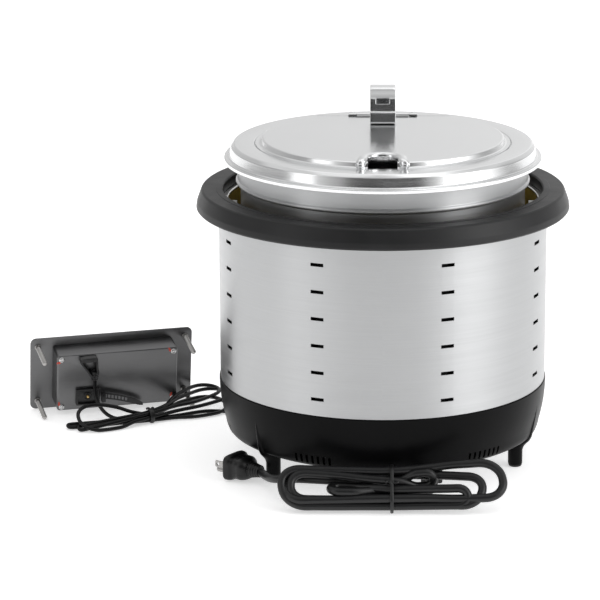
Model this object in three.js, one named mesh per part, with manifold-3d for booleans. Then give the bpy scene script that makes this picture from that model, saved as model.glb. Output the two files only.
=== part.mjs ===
// A drop-in induction soup kettle: a round housing with a well, a removable soup inset with a hinged
// lid, three feet, a mains lead with its plug, and the remote control panel on its own cable.
// Millimetres, +Z up. The kettle stands on three feet at z = 0; the panel stands beside it.
import * as THREE from "three";
import { mergeVertices } from "three/addons/utils/BufferGeometryUtils.js";
import Module from "manifold-3d";

const wasm = await Module();
wasm.setup();

// ---------------------------------------------------------------- driving dimensions
const AROUND = 48; // facets of every large round part
const GAP = 0.3; // clearance between touching pieces

const SHELL_R = 155;
const SHELL_THICK = 1;
const SHELL_BOTTOM = 79.3;
const SHELL_TOP = 252.1;
const SLOT_PITCH = 25.4;
const SLOT_ROWS = 6;
const SLOT_FIRST_Z = 95;
const SLOT_COLUMNS = 8;
const SLOT_WIDE = 12.7;
const SLOT_HIGH = 3.2;

const RING_R = 176;
const RING_OPENING_R = 150.5;
const RING_BOTTOM = 243;
const RING_TOP = 262;

const WELL_R = 147.2;
const WELL_THICK = 1.2;
const WELL_FLOOR = 70;
const HOB_R = 118;
const HOB_THICK = 4;

const BASE_TOP_R = 155.2;
const BASE_TOP = 79;
const BASE_EDGE_R = 142.4;
const BASE_BOTTOM = 26.8;
const LEG_CIRCLE_R = 134;
const LEG_R = 6.9;
const LEG_ANGLES = { front_left: -49.5, front_right: 70.5, rear: 190.5 };
const FOOT_HIGH = 2;
const VENT_GROUP_ANGLES = [-25.4, 39.3, 94.6, 159.3, 214.6, 279.3];
const VENTS_PER_GROUP = 7;
const VENT_PITCH = 5.5;
const VENT_WIDE = 2.3;

const INSET_BODY_R = 134;
const INSET_BAND_R = 137;
const INSET_BOTTOM = WELL_FLOOR + WELL_THICK + GAP + HOB_THICK + GAP;
const INSET_LIP_R = 147;
const INSET_TOP = 290.8;
const INSET_WALL = 1.2;

const LID_R = 149.4;
const LID_TOP = 305.2;
const LID_OPENING_R = 111.5;
const FLAP_R = 119.7;
const DISC_R = 113.4;
const DISC_TOP = 310.2;
const SHEET = 1;
const HINGE_Y = 92;
const HINGE_Z = 311;
const KNUCKLE_R = 2.2;
const KNUCKLE_BORE_R = 1.15;
const PIN_R = 1;
const FLAP_KNUCKLE_HALF = 25.2;
const HINGE_HALF = 33;
const NOTCH_R = 13.5;
const NOTCH_Y = -106;
const BEAD_R = 4.5;
const BEAD_PATH_R = 18;

const HANDLE_WIDE = 24.5;
const HANDLE_THICK = 2;
const HANDLE_SLOT = { wide: 12.9, high: 4.7, up: 22.6 };

const PLATE = { wide: 165.8, high: 77.9, thick: 1.5, corner: 6 };
const BOX = { left: 22.3, bottom: 8.4, wide: 122.8, high: 61, deep: 25.9, wall: 1.2 };
const STUD = { r: 2.5, long: 40, inSide: 7.3, inEnd: 9.2 };
const PANEL_PLACE = { x: -355.1, y: 130.3, turn: 16.7 };
const PANEL_LEAN = THREE.MathUtils.radToDeg(Math.atan((STUD.inEnd - STUD.r) / STUD.long));

const MAINS_D = 8;
const CABLE_D = 3.8;

// ---------------------------------------------------------------- looks
const look = (color, roughness, metalness) => ({ color, roughness, metalness });
const LOOKS = {
  brushed: look(0xc9cacc, 0.35, 1),
  polished: look(0xd8d9db, 0.12, 1),
  darkSteel: look(0x77797c, 0.3, 1),
  blackPlastic: look(0x232426, 0.5, 0),
  rubber: look(0x1b1b1d, 0.75, 0),
  mustard: look(0xc39b22, 0.7, 0),
  whitePad: look(0xeeece6, 0.6, 0),
  ceramic: look(0x151516, 0.12, 0),
  copper: look(0xb06a3c, 0.4, 1),
  board: look(0x2c5a3a, 0.6, 0),
  aluminium: look(0xb5b8bb, 0.4, 1),
  greyPlate: look(0x6b6d70, 0.45, 1),
  cord: look(0x3a3a3c, 0.5, 0),
  brass: look(0xb08c45, 0.35, 1),
  window: look(0x101114, 0.1, 0),
  key: look(0xa9acb0, 0.5, 0),
};

// ---------------------------------------------------------------- solids
const rad = THREE.MathUtils.degToRad;

function toSolid(geometry) {
  const bare = new THREE.BufferGeometry();
  const loose = geometry.index ? geometry.toNonIndexed() : geometry;
  bare.setAttribute("position", loose.getAttribute("position"));
  const merged = mergeVertices(bare, 1e-4);
  const index = merged.index.array;
  const kept = [];
  for (let i = 0; i < index.length; i += 3) {
    const [a, b, c] = [index[i], index[i + 1], index[i + 2]];
    if (a !== b && b !== c && c !== a) {
      kept.push(a, b, c);
    }
  }
  const make = (triVerts) =>
    new wasm.Manifold(
      new wasm.Mesh({
        numProp: 3,
        vertProperties: merged.attributes.position.array,
        triVerts: new Uint32Array(triVerts),
      }),
    );
  const solid = make(kept);
  return solid.volume() < 0 ? make(kept.reverse()) : solid;
}

function toGeometry(solid) {
  const mesh = solid.getMesh();
  const geometry = new THREE.BufferGeometry();
  geometry.setAttribute("position", new THREE.BufferAttribute(mesh.vertProperties, 3));
  geometry.setIndex(new THREE.BufferAttribute(mesh.triVerts, 1));
  geometry.computeVertexNormals();
  return geometry;
}

// A solid of revolution about Z from [radius, height] pairs; turn moves its first corner round.
function lathe(profile, turn = 0, facets = AROUND) {
  const onAxis = profile[0][0] === 0;
  const closed = onAxis ? profile : [...profile, profile[0]];
  const points = closed.map(([r, z]) => new THREE.Vector2(r, z));
  const geometry = new THREE.LatheGeometry(points, facets);
  geometry.rotateX(Math.PI / 2);
  geometry.rotateZ(rad(turn));
  return toSolid(geometry);
}

function block(x0, x1, y0, y1, z0, z1, place = (g) => g) {
  const geometry = new THREE.BoxGeometry(x1 - x0, y1 - y0, z1 - z0);
  geometry.translate((x0 + x1) / 2, (y0 + y1) / 2, (z0 + z1) / 2);
  return toSolid(place(geometry));
}

// A round bar along Z from z0 to z1, tapering from r0 to r1.
function bar(r0, r1, z0, z1, facets, place = (g) => g) {
  const geometry = new THREE.CylinderGeometry(r1, r0, z1 - z0, facets);
  geometry.rotateX(Math.PI / 2);
  geometry.translate(0, 0, (z0 + z1) / 2);
  return toSolid(place(geometry));
}

function extrude(shape, depth, place = (g) => g, curveSegments = 6) {
  const options = { depth, bevelEnabled: false, curveSegments, steps: 1 };
  return toSolid(place(new THREE.ExtrudeGeometry(shape, options)));
}

function circleShape(r, sides) {
  const shape = new THREE.Shape();
  for (let i = 0; i <= sides; i++) {
    const a = (2 * Math.PI * (i + 0.5)) / sides;
    const [x, y] = [r * Math.cos(a), r * Math.sin(a)];
    if (i === 0) {
      shape.moveTo(x, y);
    } else {
      shape.lineTo(x, y);
    }
  }
  return shape;
}

function tube(points, diameter, sides, steps) {
  const path = new THREE.CatmullRomCurve3(points.map((p) => new THREE.Vector3(...p)), false, "centripetal");
  const options = { steps, bevelEnabled: false, extrudePath: path };
  return toSolid(new THREE.ExtrudeGeometry(circleShape(diameter / 2, sides), options));
}

function roundedRect(x0, x1, y0, y1, r) {
  const shape = new THREE.Shape();
  shape.absarc(x1 - r, y0 + r, r, -Math.PI / 2, 0);
  shape.absarc(x1 - r, y1 - r, r, 0, Math.PI / 2);
  shape.absarc(x0 + r, y1 - r, r, Math.PI / 2, Math.PI);
  shape.absarc(x0 + r, y0 + r, r, Math.PI, 1.5 * Math.PI);
  shape.closePath();
  return shape;
}

// The outline of a bent strip: its centre line moved half a thickness to each side.
function stripShape(line, thickness) {
  const points = line.map(([x, y]) => new THREE.Vector2(x, y));
  const side = (sign) =>
    points.map((p, i) => {
      const before = points[Math.max(i - 1, 0)];
      const after = points[Math.min(i + 1, points.length - 1)];
      const a = i === 0 ? after.clone().sub(p) : p.clone().sub(before);
      const b = i === points.length - 1 ? p.clone().sub(before) : after.clone().sub(p);
      const mitre = a.normalize().add(b.normalize()).normalize();
      const reach = (sign * thickness) / 2 / Math.max(mitre.dot(b), 0.5);
      return new THREE.Vector2(p.x - mitre.y * reach, p.y + mitre.x * reach);
    });
  return new THREE.Shape([...side(1), ...side(-1).reverse()]);
}

// Places a geometry made at +X on the kettle's circle: angle 0 is the front (-Y), + turns towards +X.
const around = (angle, r, z = 0) => (geometry) => {
  geometry.rotateZ(rad(angle - 90));
  geometry.translate(r * Math.sin(rad(angle)), -r * Math.cos(rad(angle)), z);
  return geometry;
};

const assembly = new THREE.Group();
const kettle = new THREE.Group();
const panel = new THREE.Group();
const cords = new THREE.Group();
assembly.add(kettle, panel, cords);

function add(group, name, solid, { color, roughness, metalness }) {
  const material = new THREE.MeshStandardMaterial({ color, roughness, metalness });
  const mesh = new THREE.Mesh(toGeometry(solid), material);
  mesh.name = name;
  group.add(mesh);
  return mesh;
}

// ---------------------------------------------------------------- housing
function outerShell() {
  const half = 180 / AROUND;
  const inner = SHELL_R - SHELL_THICK;
  const corners = [[inner, SHELL_BOTTOM], [SHELL_R, SHELL_BOTTOM], [SHELL_R, SHELL_TOP], [inner, SHELL_TOP]];
  let solid = lathe(corners, half);
  for (let column = 0; column < SLOT_COLUMNS; column++) {
    const angle = (column + 0.5) * (360 / SLOT_COLUMNS);
    for (let row = 0; row < SLOT_ROWS; row++) {
      const z = SLOT_FIRST_Z + row * SLOT_PITCH;
      const w = SLOT_WIDE / 2;
      const h = SLOT_HIGH / 2;
      solid = solid.subtract(block(-6, 6, -w, w, z - h, z + h, around(angle, SHELL_R)));
    }
  }
  add(kettle, "outer_shell", solid, LOOKS.brushed);
}

function topRing() {
  const underLip = SHELL_TOP + GAP;
  const profile = [
    [RING_OPENING_R, underLip],
    [156.8, underLip],
    [156.8, RING_BOTTOM],
    [174.6, RING_BOTTOM],
    [RING_R, RING_BOTTOM + 1.6],
    [175.2, RING_BOTTOM + 7],
    [171.2, RING_TOP - 1.2],
    [169.6, RING_TOP],
    [157.4, RING_TOP],
    [157, RING_TOP + 0.5],
    [151.8, RING_TOP + 0.5],
    [RING_OPENING_R, RING_TOP - 0.8],
  ];
  add(kettle, "top_ring", lathe(profile), LOOKS.blackPlastic);
}

function innerWell() {
  const inner = WELL_R - WELL_THICK;
  const profile = [
    [HOB_R - 6, WELL_FLOOR],
    [WELL_R, WELL_FLOOR],
    [WELL_R, SHELL_TOP - WELL_THICK],
    [153.2, SHELL_TOP - WELL_THICK],
    [153.2, SHELL_TOP],
    [inner, SHELL_TOP],
    [inner, WELL_FLOOR + WELL_THICK],
    [HOB_R - 6, WELL_FLOOR + WELL_THICK],
  ];
  add(kettle, "inner_well", lathe(profile), LOOKS.mustard);
  const hobLow = WELL_FLOOR + WELL_THICK + GAP;
  add(kettle, "hob_plate", bar(HOB_R, HOB_R, hobLow, hobLow + HOB_THICK, AROUND), LOOKS.ceramic);
  for (const [name, angle] of [["right", 90], ["left", -90], ["rear", 180]]) {
    const pad = block(-3.8, 3.8, -6, 6, -4.5, 4.5, around(angle, 141.4, 242.5));
    add(kettle, "well_pad_" + name, pad, LOOKS.whitePad);
  }
}

function baseHousing() {
  const profile = [
    [BASE_TOP_R - 3, BASE_TOP],
    [BASE_TOP_R, BASE_TOP],
    [149.6, 35.5],
    [BASE_EDGE_R, BASE_BOTTOM],
    [139.6, BASE_BOTTOM],
    [139.6, 29],
    [146.6, 37],
  ];
  let solid = lathe(profile);
  for (const centre of VENT_GROUP_ANGLES) {
    const step = THREE.MathUtils.radToDeg(VENT_PITCH / BASE_EDGE_R);
    for (let i = 0; i < VENTS_PER_GROUP; i++) {
      const angle = centre + (i - (VENTS_PER_GROUP - 1) / 2) * step;
      const w = VENT_WIDE / 2;
      solid = solid.subtract(block(-7, 6, -w, w, 30.2, 38.4, around(angle, 146)));
    }
  }
  for (const angle of Object.values(LEG_ANGLES)) {
    solid = solid.add(bar(LEG_R, LEG_R, FOOT_HIGH + GAP, 58, 12, around(angle, LEG_CIRCLE_R)));
    const lean = (g) => around(angle, 143.4, BASE_BOTTOM)(g.rotateY(Math.atan(10.4 / 36)));
    solid = solid.add(bar(LEG_R - 0.4, 1.2, 0, 37.5, 10, lean));
  }
  add(kettle, "base_housing", solid, LOOKS.blackPlastic);
  for (const [name, angle] of Object.entries(LEG_ANGLES)) {
    add(kettle, "foot_pad_" + name, bar(6, 6.4, 0, FOOT_HIGH, 12, around(angle, LEG_CIRCLE_R)), LOOKS.rubber);
  }
}

const FAN = { x: 52, y: 42, side: 80, low: 32, high: 52 };

function bottomPlate() {
  const low = BASE_BOTTOM + 0.4;
  let solid = bar(139.1, 139.1, low, low + 1.5, AROUND);
  for (const angle of Object.values(LEG_ANGLES)) {
    solid = solid.subtract(bar(LEG_R + 0.5, LEG_R + 0.5, 20, 40, 12, around(angle, LEG_CIRCLE_R)));
  }
  for (let i = -3; i <= 3; i++) {
    const y = FAN.y + i * 9;
    solid = solid.subtract(block(FAN.x - 28, FAN.x + 28, y - 2, y + 2, 20, 40));
  }
  add(kettle, "bottom_plate", solid, LOOKS.darkSteel);
}

// ---------------------------------------------------------------- what the base holds
function electronics() {
  const coil = [[35, 62.6], [38, 61.6], [97, 61.6], [100, 62.6], [100, 67.4], [97, 68.4], [38, 68.4], [35, 67.4]];
  add(kettle, "induction_coil", lathe(coil, 0, 32), LOOKS.copper);
  let carrier = lathe([[22, 57.5], [108, 57.5], [108, 61.3], [22, 61.3]], 0, 32);
  for (const angle of [100, 220, 340]) {
    carrier = carrier.add(bar(4, 4, 29, 58.5, 8, around(angle, 103)));
  }
  add(kettle, "coil_carrier", carrier, LOOKS.aluminium);
  add(kettle, "power_board", block(-98, -8, -58, 42, 36, 37.6), LOOKS.board);
  let sink = block(-80, -30, -40, 20, 37.9, 41);
  for (let i = 0; i < 6; i++) {
    sink = sink.add(block(-80, -30, -40 + i * 11.6, -38 + i * 11.6, 40, 55));
  }
  add(kettle, "heat_sink", sink, LOOKS.aluminium);
  const at = (g) => g.translate(FAN.x, FAN.y, 0);
  const half = FAN.side / 2;
  let frame = block(-half, half, -half, half, FAN.low, FAN.high, at);
  frame = frame.subtract(bar(38, 38, 20, 60, 24, at));
  frame = frame.add(block(-39.5, 39.5, -2, 2, FAN.high - 2, FAN.high, at));
  add(kettle, "fan_frame", frame, LOOKS.blackPlastic);
  let rotor = bar(14, 14, 33, 49, 16, at);
  for (let i = 0; i < 7; i++) {
    const turn = (g) => at(g.rotateX(rad(35)).translate(0, 0, 41).rotateZ((2 * Math.PI * i) / 7));
    rotor = rotor.add(block(12, 35.5, -7, 7, -0.6, 0.6, turn));
  }
  add(kettle, "fan_rotor", rotor, LOOKS.blackPlastic);
}

// ---------------------------------------------------------------- inset and lid
function soupInset() {
  const body = INSET_BODY_R;
  const band = INSET_BAND_R;
  const profile = [
    [0, INSET_BOTTOM],
    [118, INSET_BOTTOM],
    [129.3, INSET_BOTTOM + 4.7],
    [body, INSET_BOTTOM + 16],
    [body, 266.6],
    [138.4, 268.4],
    [138.4, 270.4],
    [band, 272.2],
    [band, 288.2],
    [139.2, INSET_TOP - INSET_WALL],
    [INSET_LIP_R, INSET_TOP - INSET_WALL],
    [INSET_LIP_R, INSET_TOP],
    [138.6, INSET_TOP],
    [band - INSET_WALL, 289],
    [band - INSET_WALL, 272.6],
    [body - INSET_WALL, 267.2],
    [body - INSET_WALL, INSET_BOTTOM + 16.4],
    [128.6, INSET_BOTTOM + 5.7],
    [117.6, INSET_BOTTOM + INSET_WALL],
    [0, INSET_BOTTOM + INSET_WALL],
  ];
  add(kettle, "soup_inset", lathe(profile), LOOKS.polished);
}

const alongX = (x, y, z) => (geometry) => geometry.rotateY(Math.PI / 2).translate(x, y, z);

function knuckle(from, to) {
  return bar(KNUCKLE_R, KNUCKLE_R, from, to, 12, alongX(0, HINGE_Y, HINGE_Z));
}

function hingeBore() {
  return bar(KNUCKLE_BORE_R, KNUCKLE_BORE_R, -60, 60, 12, alongX(0, HINGE_Y, HINGE_Z));
}

function lidRing() {
  const profile = [
    [LID_OPENING_R, LID_TOP - 2.3],
    [121.2, LID_TOP - 2.3],
    [121.2, LID_TOP - 1.1],
    [138.2, LID_TOP - 1.1],
    [141.4, 301.6],
    [141.6, 294.6],
    [143.4, 291.3],
    [148.2, 291.3],
    [148.2, 288.8],
    [LID_R, 288.8],
    [LID_R, 292],
    [148.6, 292.7],
    [144.4, 292.8],
    [142.8, 302.4],
    [139.6, LID_TOP],
    [FLAP_R + 0.4, LID_TOP],
    [FLAP_R + 0.4, LID_TOP - 1.3],
    [LID_OPENING_R, LID_TOP - 1.3],
  ];
  const rear = [
    [0, DISC_TOP - SHEET],
    [DISC_R - 1, DISC_TOP - SHEET],
    [DISC_R + 0.6, LID_TOP - 1.7],
    [FLAP_R + 0.9, LID_TOP - 1.7],
    [FLAP_R + 0.9, LID_TOP],
    [DISC_R + 1.6, LID_TOP],
    [DISC_R, DISC_TOP],
    [0, DISC_TOP],
  ];
  const behind = block(-150, 150, HINGE_Y + 3, 150, 290, 330);
  let solid = lathe(profile).add(lathe(rear).intersect(behind));
  for (const side of [-1, 1]) {
    const ends = [side * (FLAP_KNUCKLE_HALF + 0.4), side * HINGE_HALF].sort((a, b) => a - b);
    solid = solid.add(knuckle(...ends));
    solid = solid.add(block(...ends, HINGE_Y + 1.2, HINGE_Y + 6, DISC_TOP - 0.6, DISC_TOP + 1));
  }
  add(kettle, "lid_ring", solid.subtract(hingeBore()), LOOKS.polished);
  const pin = bar(PIN_R, PIN_R, -HINGE_HALF, HINGE_HALF, 12, alongX(0, HINGE_Y, HINGE_Z));
  add(kettle, "hinge_pin", pin, LOOKS.darkSteel);
}

function lidFlap() {
  const profile = [
    [0, DISC_TOP - SHEET],
    [DISC_R - 0.8, DISC_TOP - SHEET],
    [DISC_R + 0.8, LID_TOP - SHEET],
    [FLAP_R, LID_TOP - SHEET],
    [FLAP_R, LID_TOP],
    [DISC_R + 1.6, LID_TOP],
    [DISC_R, DISC_TOP],
    [0, DISC_TOP],
  ];
  const bead = [];
  for (let i = 0; i <= 10; i++) {
    const a = (Math.PI * i) / 10;
    bead.push([BEAD_PATH_R * Math.cos(a), NOTCH_Y + BEAD_PATH_R * Math.sin(a), DISC_TOP]);
  }
  const legs = (side) => [side * BEAD_PATH_R, -116.5, DISC_TOP];
  let solid = lathe(profile);
  solid = solid.add(tube([legs(1), ...bead, legs(-1)], 2 * BEAD_R, 8, 16));
  solid = solid.subtract(block(-150, 150, HINGE_Y - 3, 150, 290, 330));
  solid = solid.subtract(bar(NOTCH_R, NOTCH_R, 290, 330, 20, (g) => g.translate(0, NOTCH_Y, 0)));
  solid = solid.subtract(block(-NOTCH_R, NOTCH_R, NOTCH_Y - 30, NOTCH_Y, 290, 330));
  const ends = [-FLAP_KNUCKLE_HALF, FLAP_KNUCKLE_HALF];
  solid = solid.add(knuckle(...ends));
  solid = solid.add(block(...ends, HINGE_Y - 5.2, HINGE_Y - 1.2, DISC_TOP - 0.6, DISC_TOP + 1));
  add(kettle, "lid_flap", solid.subtract(hingeBore()), LOOKS.polished);
}

function lidHandle() {
  const foot = HANDLE_THICK / 2 + GAP;
  const line = [
    [62, foot],
    [51.8, foot],
    [50.2, foot + 1.8],
    [49.6, 11],
    [50.4, 19],
    [57, 32],
    [60.5, 34],
    [76, 33.4],
    [81.6, 30.6],
    [84.4, 24],
    [84.6, foot + 1.8],
    [83, foot],
    [73, foot],
  ];
  const stand = (g) => g.rotateY(Math.PI / 2).rotateX(Math.PI / 2);
  const place = (g) => stand(g).translate(-HANDLE_WIDE / 2, 0, DISC_TOP);
  let solid = extrude(stripShape(line, HANDLE_THICK), HANDLE_WIDE, place);
  const w = HANDLE_SLOT.wide / 2;
  const h = HANDLE_SLOT.high / 2;
  const z = DISC_TOP + HANDLE_SLOT.up;
  solid = solid.subtract(block(-w, w, 44, 62, z - h, z + h));
  add(kettle, "lid_handle", solid, LOOKS.polished);
}

// ---------------------------------------------------------------- remote control panel
// In the panel's own frame x runs along the plate, z up it, and -y points to the cable side. The plate's
// cable-side face is at y = 0, and its lower left corner is the origin.
const PANEL_MID = PLATE.wide / 2;

function standOnEdge(geometry) {
  geometry.rotateX(Math.PI / 2);
  return geometry;
}

// A flat piece cut to shape, from depth y0 to y1 in the panel's frame.
function slab(shape, y0, y1) {
  const lift = (g) => standOnEdge(g).translate(0, y1, 0);
  return extrude(shape, y1 - y0, lift);
}

function alongY(x, y, z) {
  return (geometry) => geometry.rotateX(Math.PI / 2).translate(x, y, z);
}

function panelShell() {
  const plate = slab(roundedRect(0, PLATE.wide, 0, PLATE.high, PLATE.corner), 0, PLATE.thick);
  const [x0, z0] = [BOX.left, BOX.bottom];
  const [x1, z1] = [x0 + BOX.wide, z0 + BOX.high];
  let box = slab(roundedRect(x0, x1, z0, z1, 3), -BOX.deep, -GAP);
  const w = BOX.wall;
  box = box.subtract(block(x0 + w, x1 - w, w - BOX.deep, 5, z0 + w, z1 - w));
  add(panel, "panel_plate", plate, LOOKS.greyPlate);
  add(panel, "control_box", box, LOOKS.greyPlate);
  const face = -BOX.deep - GAP;
  const corners = { 1: [x0 + 4.5, z0 + 4.5], 2: [x1 - 4.5, z0 + 4.5], 3: [x0 + 4.5, z1 - 4.5], 4: [x1 - 4.5, z1 - 4.5] };
  for (const [number, [x, z]] of Object.entries(corners)) {
    add(panel, "box_screw_" + number, bar(2.9, 1.7, 0, 1.5, 10, alongY(x, face, z)), LOOKS.aluminium);
  }
  const studs = {
    1: [STUD.inSide, STUD.inEnd],
    2: [PLATE.wide - STUD.inSide, STUD.inEnd],
    3: [STUD.inSide, PLATE.high - STUD.inEnd],
    4: [PLATE.wide - STUD.inSide, PLATE.high - STUD.inEnd],
  };
  for (const [number, [x, z]] of Object.entries(studs)) {
    add(panel, "mount_stud_" + number, bar(STUD.r, STUD.r, GAP, STUD.long, 10, alongY(x, 0, z)), LOOKS.brushed);
  }
  add(panel, "control_board", block(x0 + 8, x1 - 8, -9.6, -8, z0 + 6, z1 - 6), LOOKS.board);
}

// The cable-side face carries a socket with one contact pin, and the boot of the control cable.
function panelBack() {
  const face = -BOX.deep - GAP;
  const [x0, x1, z0, z1] = [41.1, 65.3, 14.2, 31.9];
  let socket = block(x0, x1, face - 3, face, z0, z1);
  socket = socket.subtract(block(x0 + 2.6, x1 - 2.6, face - 8, face - 0.8, z0 + 2.4, z1 - 2.4));
  add(panel, "aux_socket", socket, LOOKS.blackPlastic);
  const pinX = 53.2;
  const pinZ = (z0 + z1) / 2;
  add(panel, "socket_pin", bar(1.4, 1.4, 0, 2, 10, alongY(pinX, face - 1.1, pinZ)), LOOKS.brass);
  const boot = new THREE.Shape();
  boot.moveTo(44.7, 67);
  boot.lineTo(44.7, 63.6);
  boot.lineTo(56.6, 43.4);
  boot.lineTo(62.4, 43.4);
  boot.lineTo(61.6, 63.6);
  boot.lineTo(61.6, 67);
  add(panel, "cable_boot", slab(boot, face - 10, face), LOOKS.blackPlastic);
  let tie = block(66, 70.2, face - 9.4, face - 3.6, 18.4, 28.4);
  const droop = (g) => g.rotateY(rad(12)).translate(68, face - 5.6, 24);
  tie = tie.add(block(0, 41, -0.6, 0.6, -3.2, 3.2, droop));
  add(panel, "zip_tie", tie, LOOKS.blackPlastic);
}

// The side the cook sees: a sheet over the plate with a display window and four push keys.
const KEY = { first: 74, pitch: 21, wide: 14, high: 11, z: 27, proud: 1.6, travel: 1 };
const KEY_NAMES = ["power", "mode", "down", "up"];

function panelFront() {
  const low = PLATE.thick + GAP;
  const high = low + 0.9;
  let sheet = slab(roundedRect(8, PLATE.wide - 8, 8, PLATE.high - 8, 4), low, high);
  sheet = sheet.subtract(block(20, 62, 0, 9, 24, 54));
  KEY_NAMES.forEach((name, i) => {
    const x = KEY.first + i * KEY.pitch;
    const hole = [x - 0.4 - KEY.wide / 2, x + 0.4 + KEY.wide / 2];
    sheet = sheet.subtract(block(...hole, 0, 9, KEY.z - 0.4 - KEY.high / 2, KEY.z + 0.4 + KEY.high / 2));
    const shape = roundedRect(x - KEY.wide / 2, x + KEY.wide / 2, KEY.z - KEY.high / 2, KEY.z + KEY.high / 2, 2);
    add(panel, "key_" + name, slab(shape, low + KEY.travel, high + KEY.proud), LOOKS.key);
  });
  add(panel, "panel_overlay", sheet, LOOKS.blackPlastic);
  add(panel, "display_window", block(20.4, 61.6, low, high + 0.4, 24.4, 53.6), LOOKS.window);
}

function placePanel() {
  panel.rotation.set(rad(PANEL_LEAN), 0, rad(PANEL_PLACE.turn), "ZYX");
  panel.position.set(PANEL_PLACE.x, PANEL_PLACE.y, 0);
}

// ---------------------------------------------------------------- mains lead and its plug
// The lead leaves a tapered relief under the base, is folded into one hank that leans on the base's
// front, and ends in a moulded plug lying on the floor to the left.
const RELIEF = { x: 46, from: -112, to: -148, z: 14 };
const HANK = { x: 9, y: -183, z: 2.4, half: 106, tall: 38, loopTall: 44, deep: 16, lean: 45 };
const PLUG = { x: -113, y: -104, z: 12.5, turn: 143 };

// Stands a shape drawn in x and "up the slope" on the hank's leaning plane.
function leanHank(geometry) {
  geometry.rotateX(rad(HANK.lean));
  geometry.translate(HANK.x, HANK.y, HANK.z);
  return geometry;
}

function mainsLead() {
  const forward = (g) => g.rotateX(Math.PI / 2).translate(RELIEF.x, RELIEF.from, RELIEF.z);
  let relief = bar(7.4, 4.9, 0, RELIEF.from - RELIEF.to, 12, forward);
  relief = relief.add(block(RELIEF.x - 10, RELIEF.x + 10, -120, -98, 6.5, BASE_BOTTOM));
  add(cords, "mains_strain_relief", relief, LOOKS.rubber);
  const out = [[46, -148.3, 14], [46, -156.5, 13.8], [46.2, -164.6, 13.4]];
  add(cords, "mains_cord_exit", tube(out, MAINS_D, 8, 2), LOOKS.cord);

  const { half, tall, loopTall } = HANK;
  const shape = new THREE.Shape();
  shape.absarc(tall / 2 - half, tall / 2, tall / 2, Math.PI / 2, 1.5 * Math.PI);
  shape.absarc(half - loopTall / 2, loopTall / 2, loopTall / 2, -Math.PI / 2, Math.PI / 2);
  shape.lineTo(half - 50, loopTall - 2);
  shape.lineTo(10, tall);
  shape.closePath();
  add(cords, "mains_cord_hank", extrude(shape, HANK.deep, leanHank, 6), LOOKS.cord);
  const outer = roundedRect(-3, 3, -1.7, HANK.tall + 1.7, 0.8);
  const inner = block(-9, 9, -GAP, HANK.tall + GAP, -GAP, HANK.deep + GAP, leanHank);
  const band = extrude(outer, HANK.deep + 3, (g) => leanHank(g.translate(0, 0, -1.5)), 2);
  add(cords, "cord_tie", band.subtract(inner), LOOKS.rubber);

  const lead = [[-92, -155.5, 21.6], [-98, -148, 20], [-103.6, -136, 17], [-106.6, -124, 14.4], [-110.2, -110.5, 12.6]];
  add(cords, "mains_cord_lead", tube(lead, MAINS_D, 8, 4), LOOKS.cord);
}

const plugPlace = (geometry) => {
  geometry.rotateY(Math.PI / 2);
  geometry.rotateZ(rad(PLUG.turn));
  geometry.translate(PLUG.x, PLUG.y, PLUG.z);
  return geometry;
};

function mainsPlug() {
  const grip = bar(5, 8, 0, 13, 12, plugPlace);
  const head = bar(13, 16.5, 12, 34, 8, (g) => plugPlace(g.rotateZ(rad(22.5)).scale(0.78, 1, 1)));
  add(cords, "mains_plug", grip.add(head), LOOKS.rubber);
  for (const [name, side] of [["left", -6.35], ["right", 6.35]]) {
    const blade = block(-3.2, 3.2, side - 0.75, side + 0.75, 34.3, 50, plugPlace);
    add(cords, "plug_blade_" + name, blade, LOOKS.brushed);
  }
  const pin = bar(2.4, 2.4, 34.3, 53, 10, (g) => plugPlace(g.translate(7.6, 0, 0)));
  add(cords, "plug_ground_pin", pin, LOOKS.brushed);
}

// ---------------------------------------------------------------- control cable
// The thin cable leaves the base's rear left underside, is folded into a flat hank in front of the
// panel, and rises to the boot on the panel's box.
const THIN_HANK = { x: -230, y: 89, turn: 21, low: 0.4, high: 14 };
// The folds' outline around the tie: they fan out, and the far ones lie over the panel's lower stud.
const THIN_FAN = [
  [-4, 8], [4, 8], [50, 50], [62, 63], [72, 66], [88, 64], [95, 50], [96, 30], [86.5, 6], [85.2, -4], [60, -6],
  [4, -7],
  [-4, -7], [-30, -15], [-56, -21], [-72, -12], [-80, -9], [-79, -3], [-88, 2], [-88, 9], [-76, 11],
  [-66, 20], [-50, 22], [-40, 14.5],
];

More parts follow.
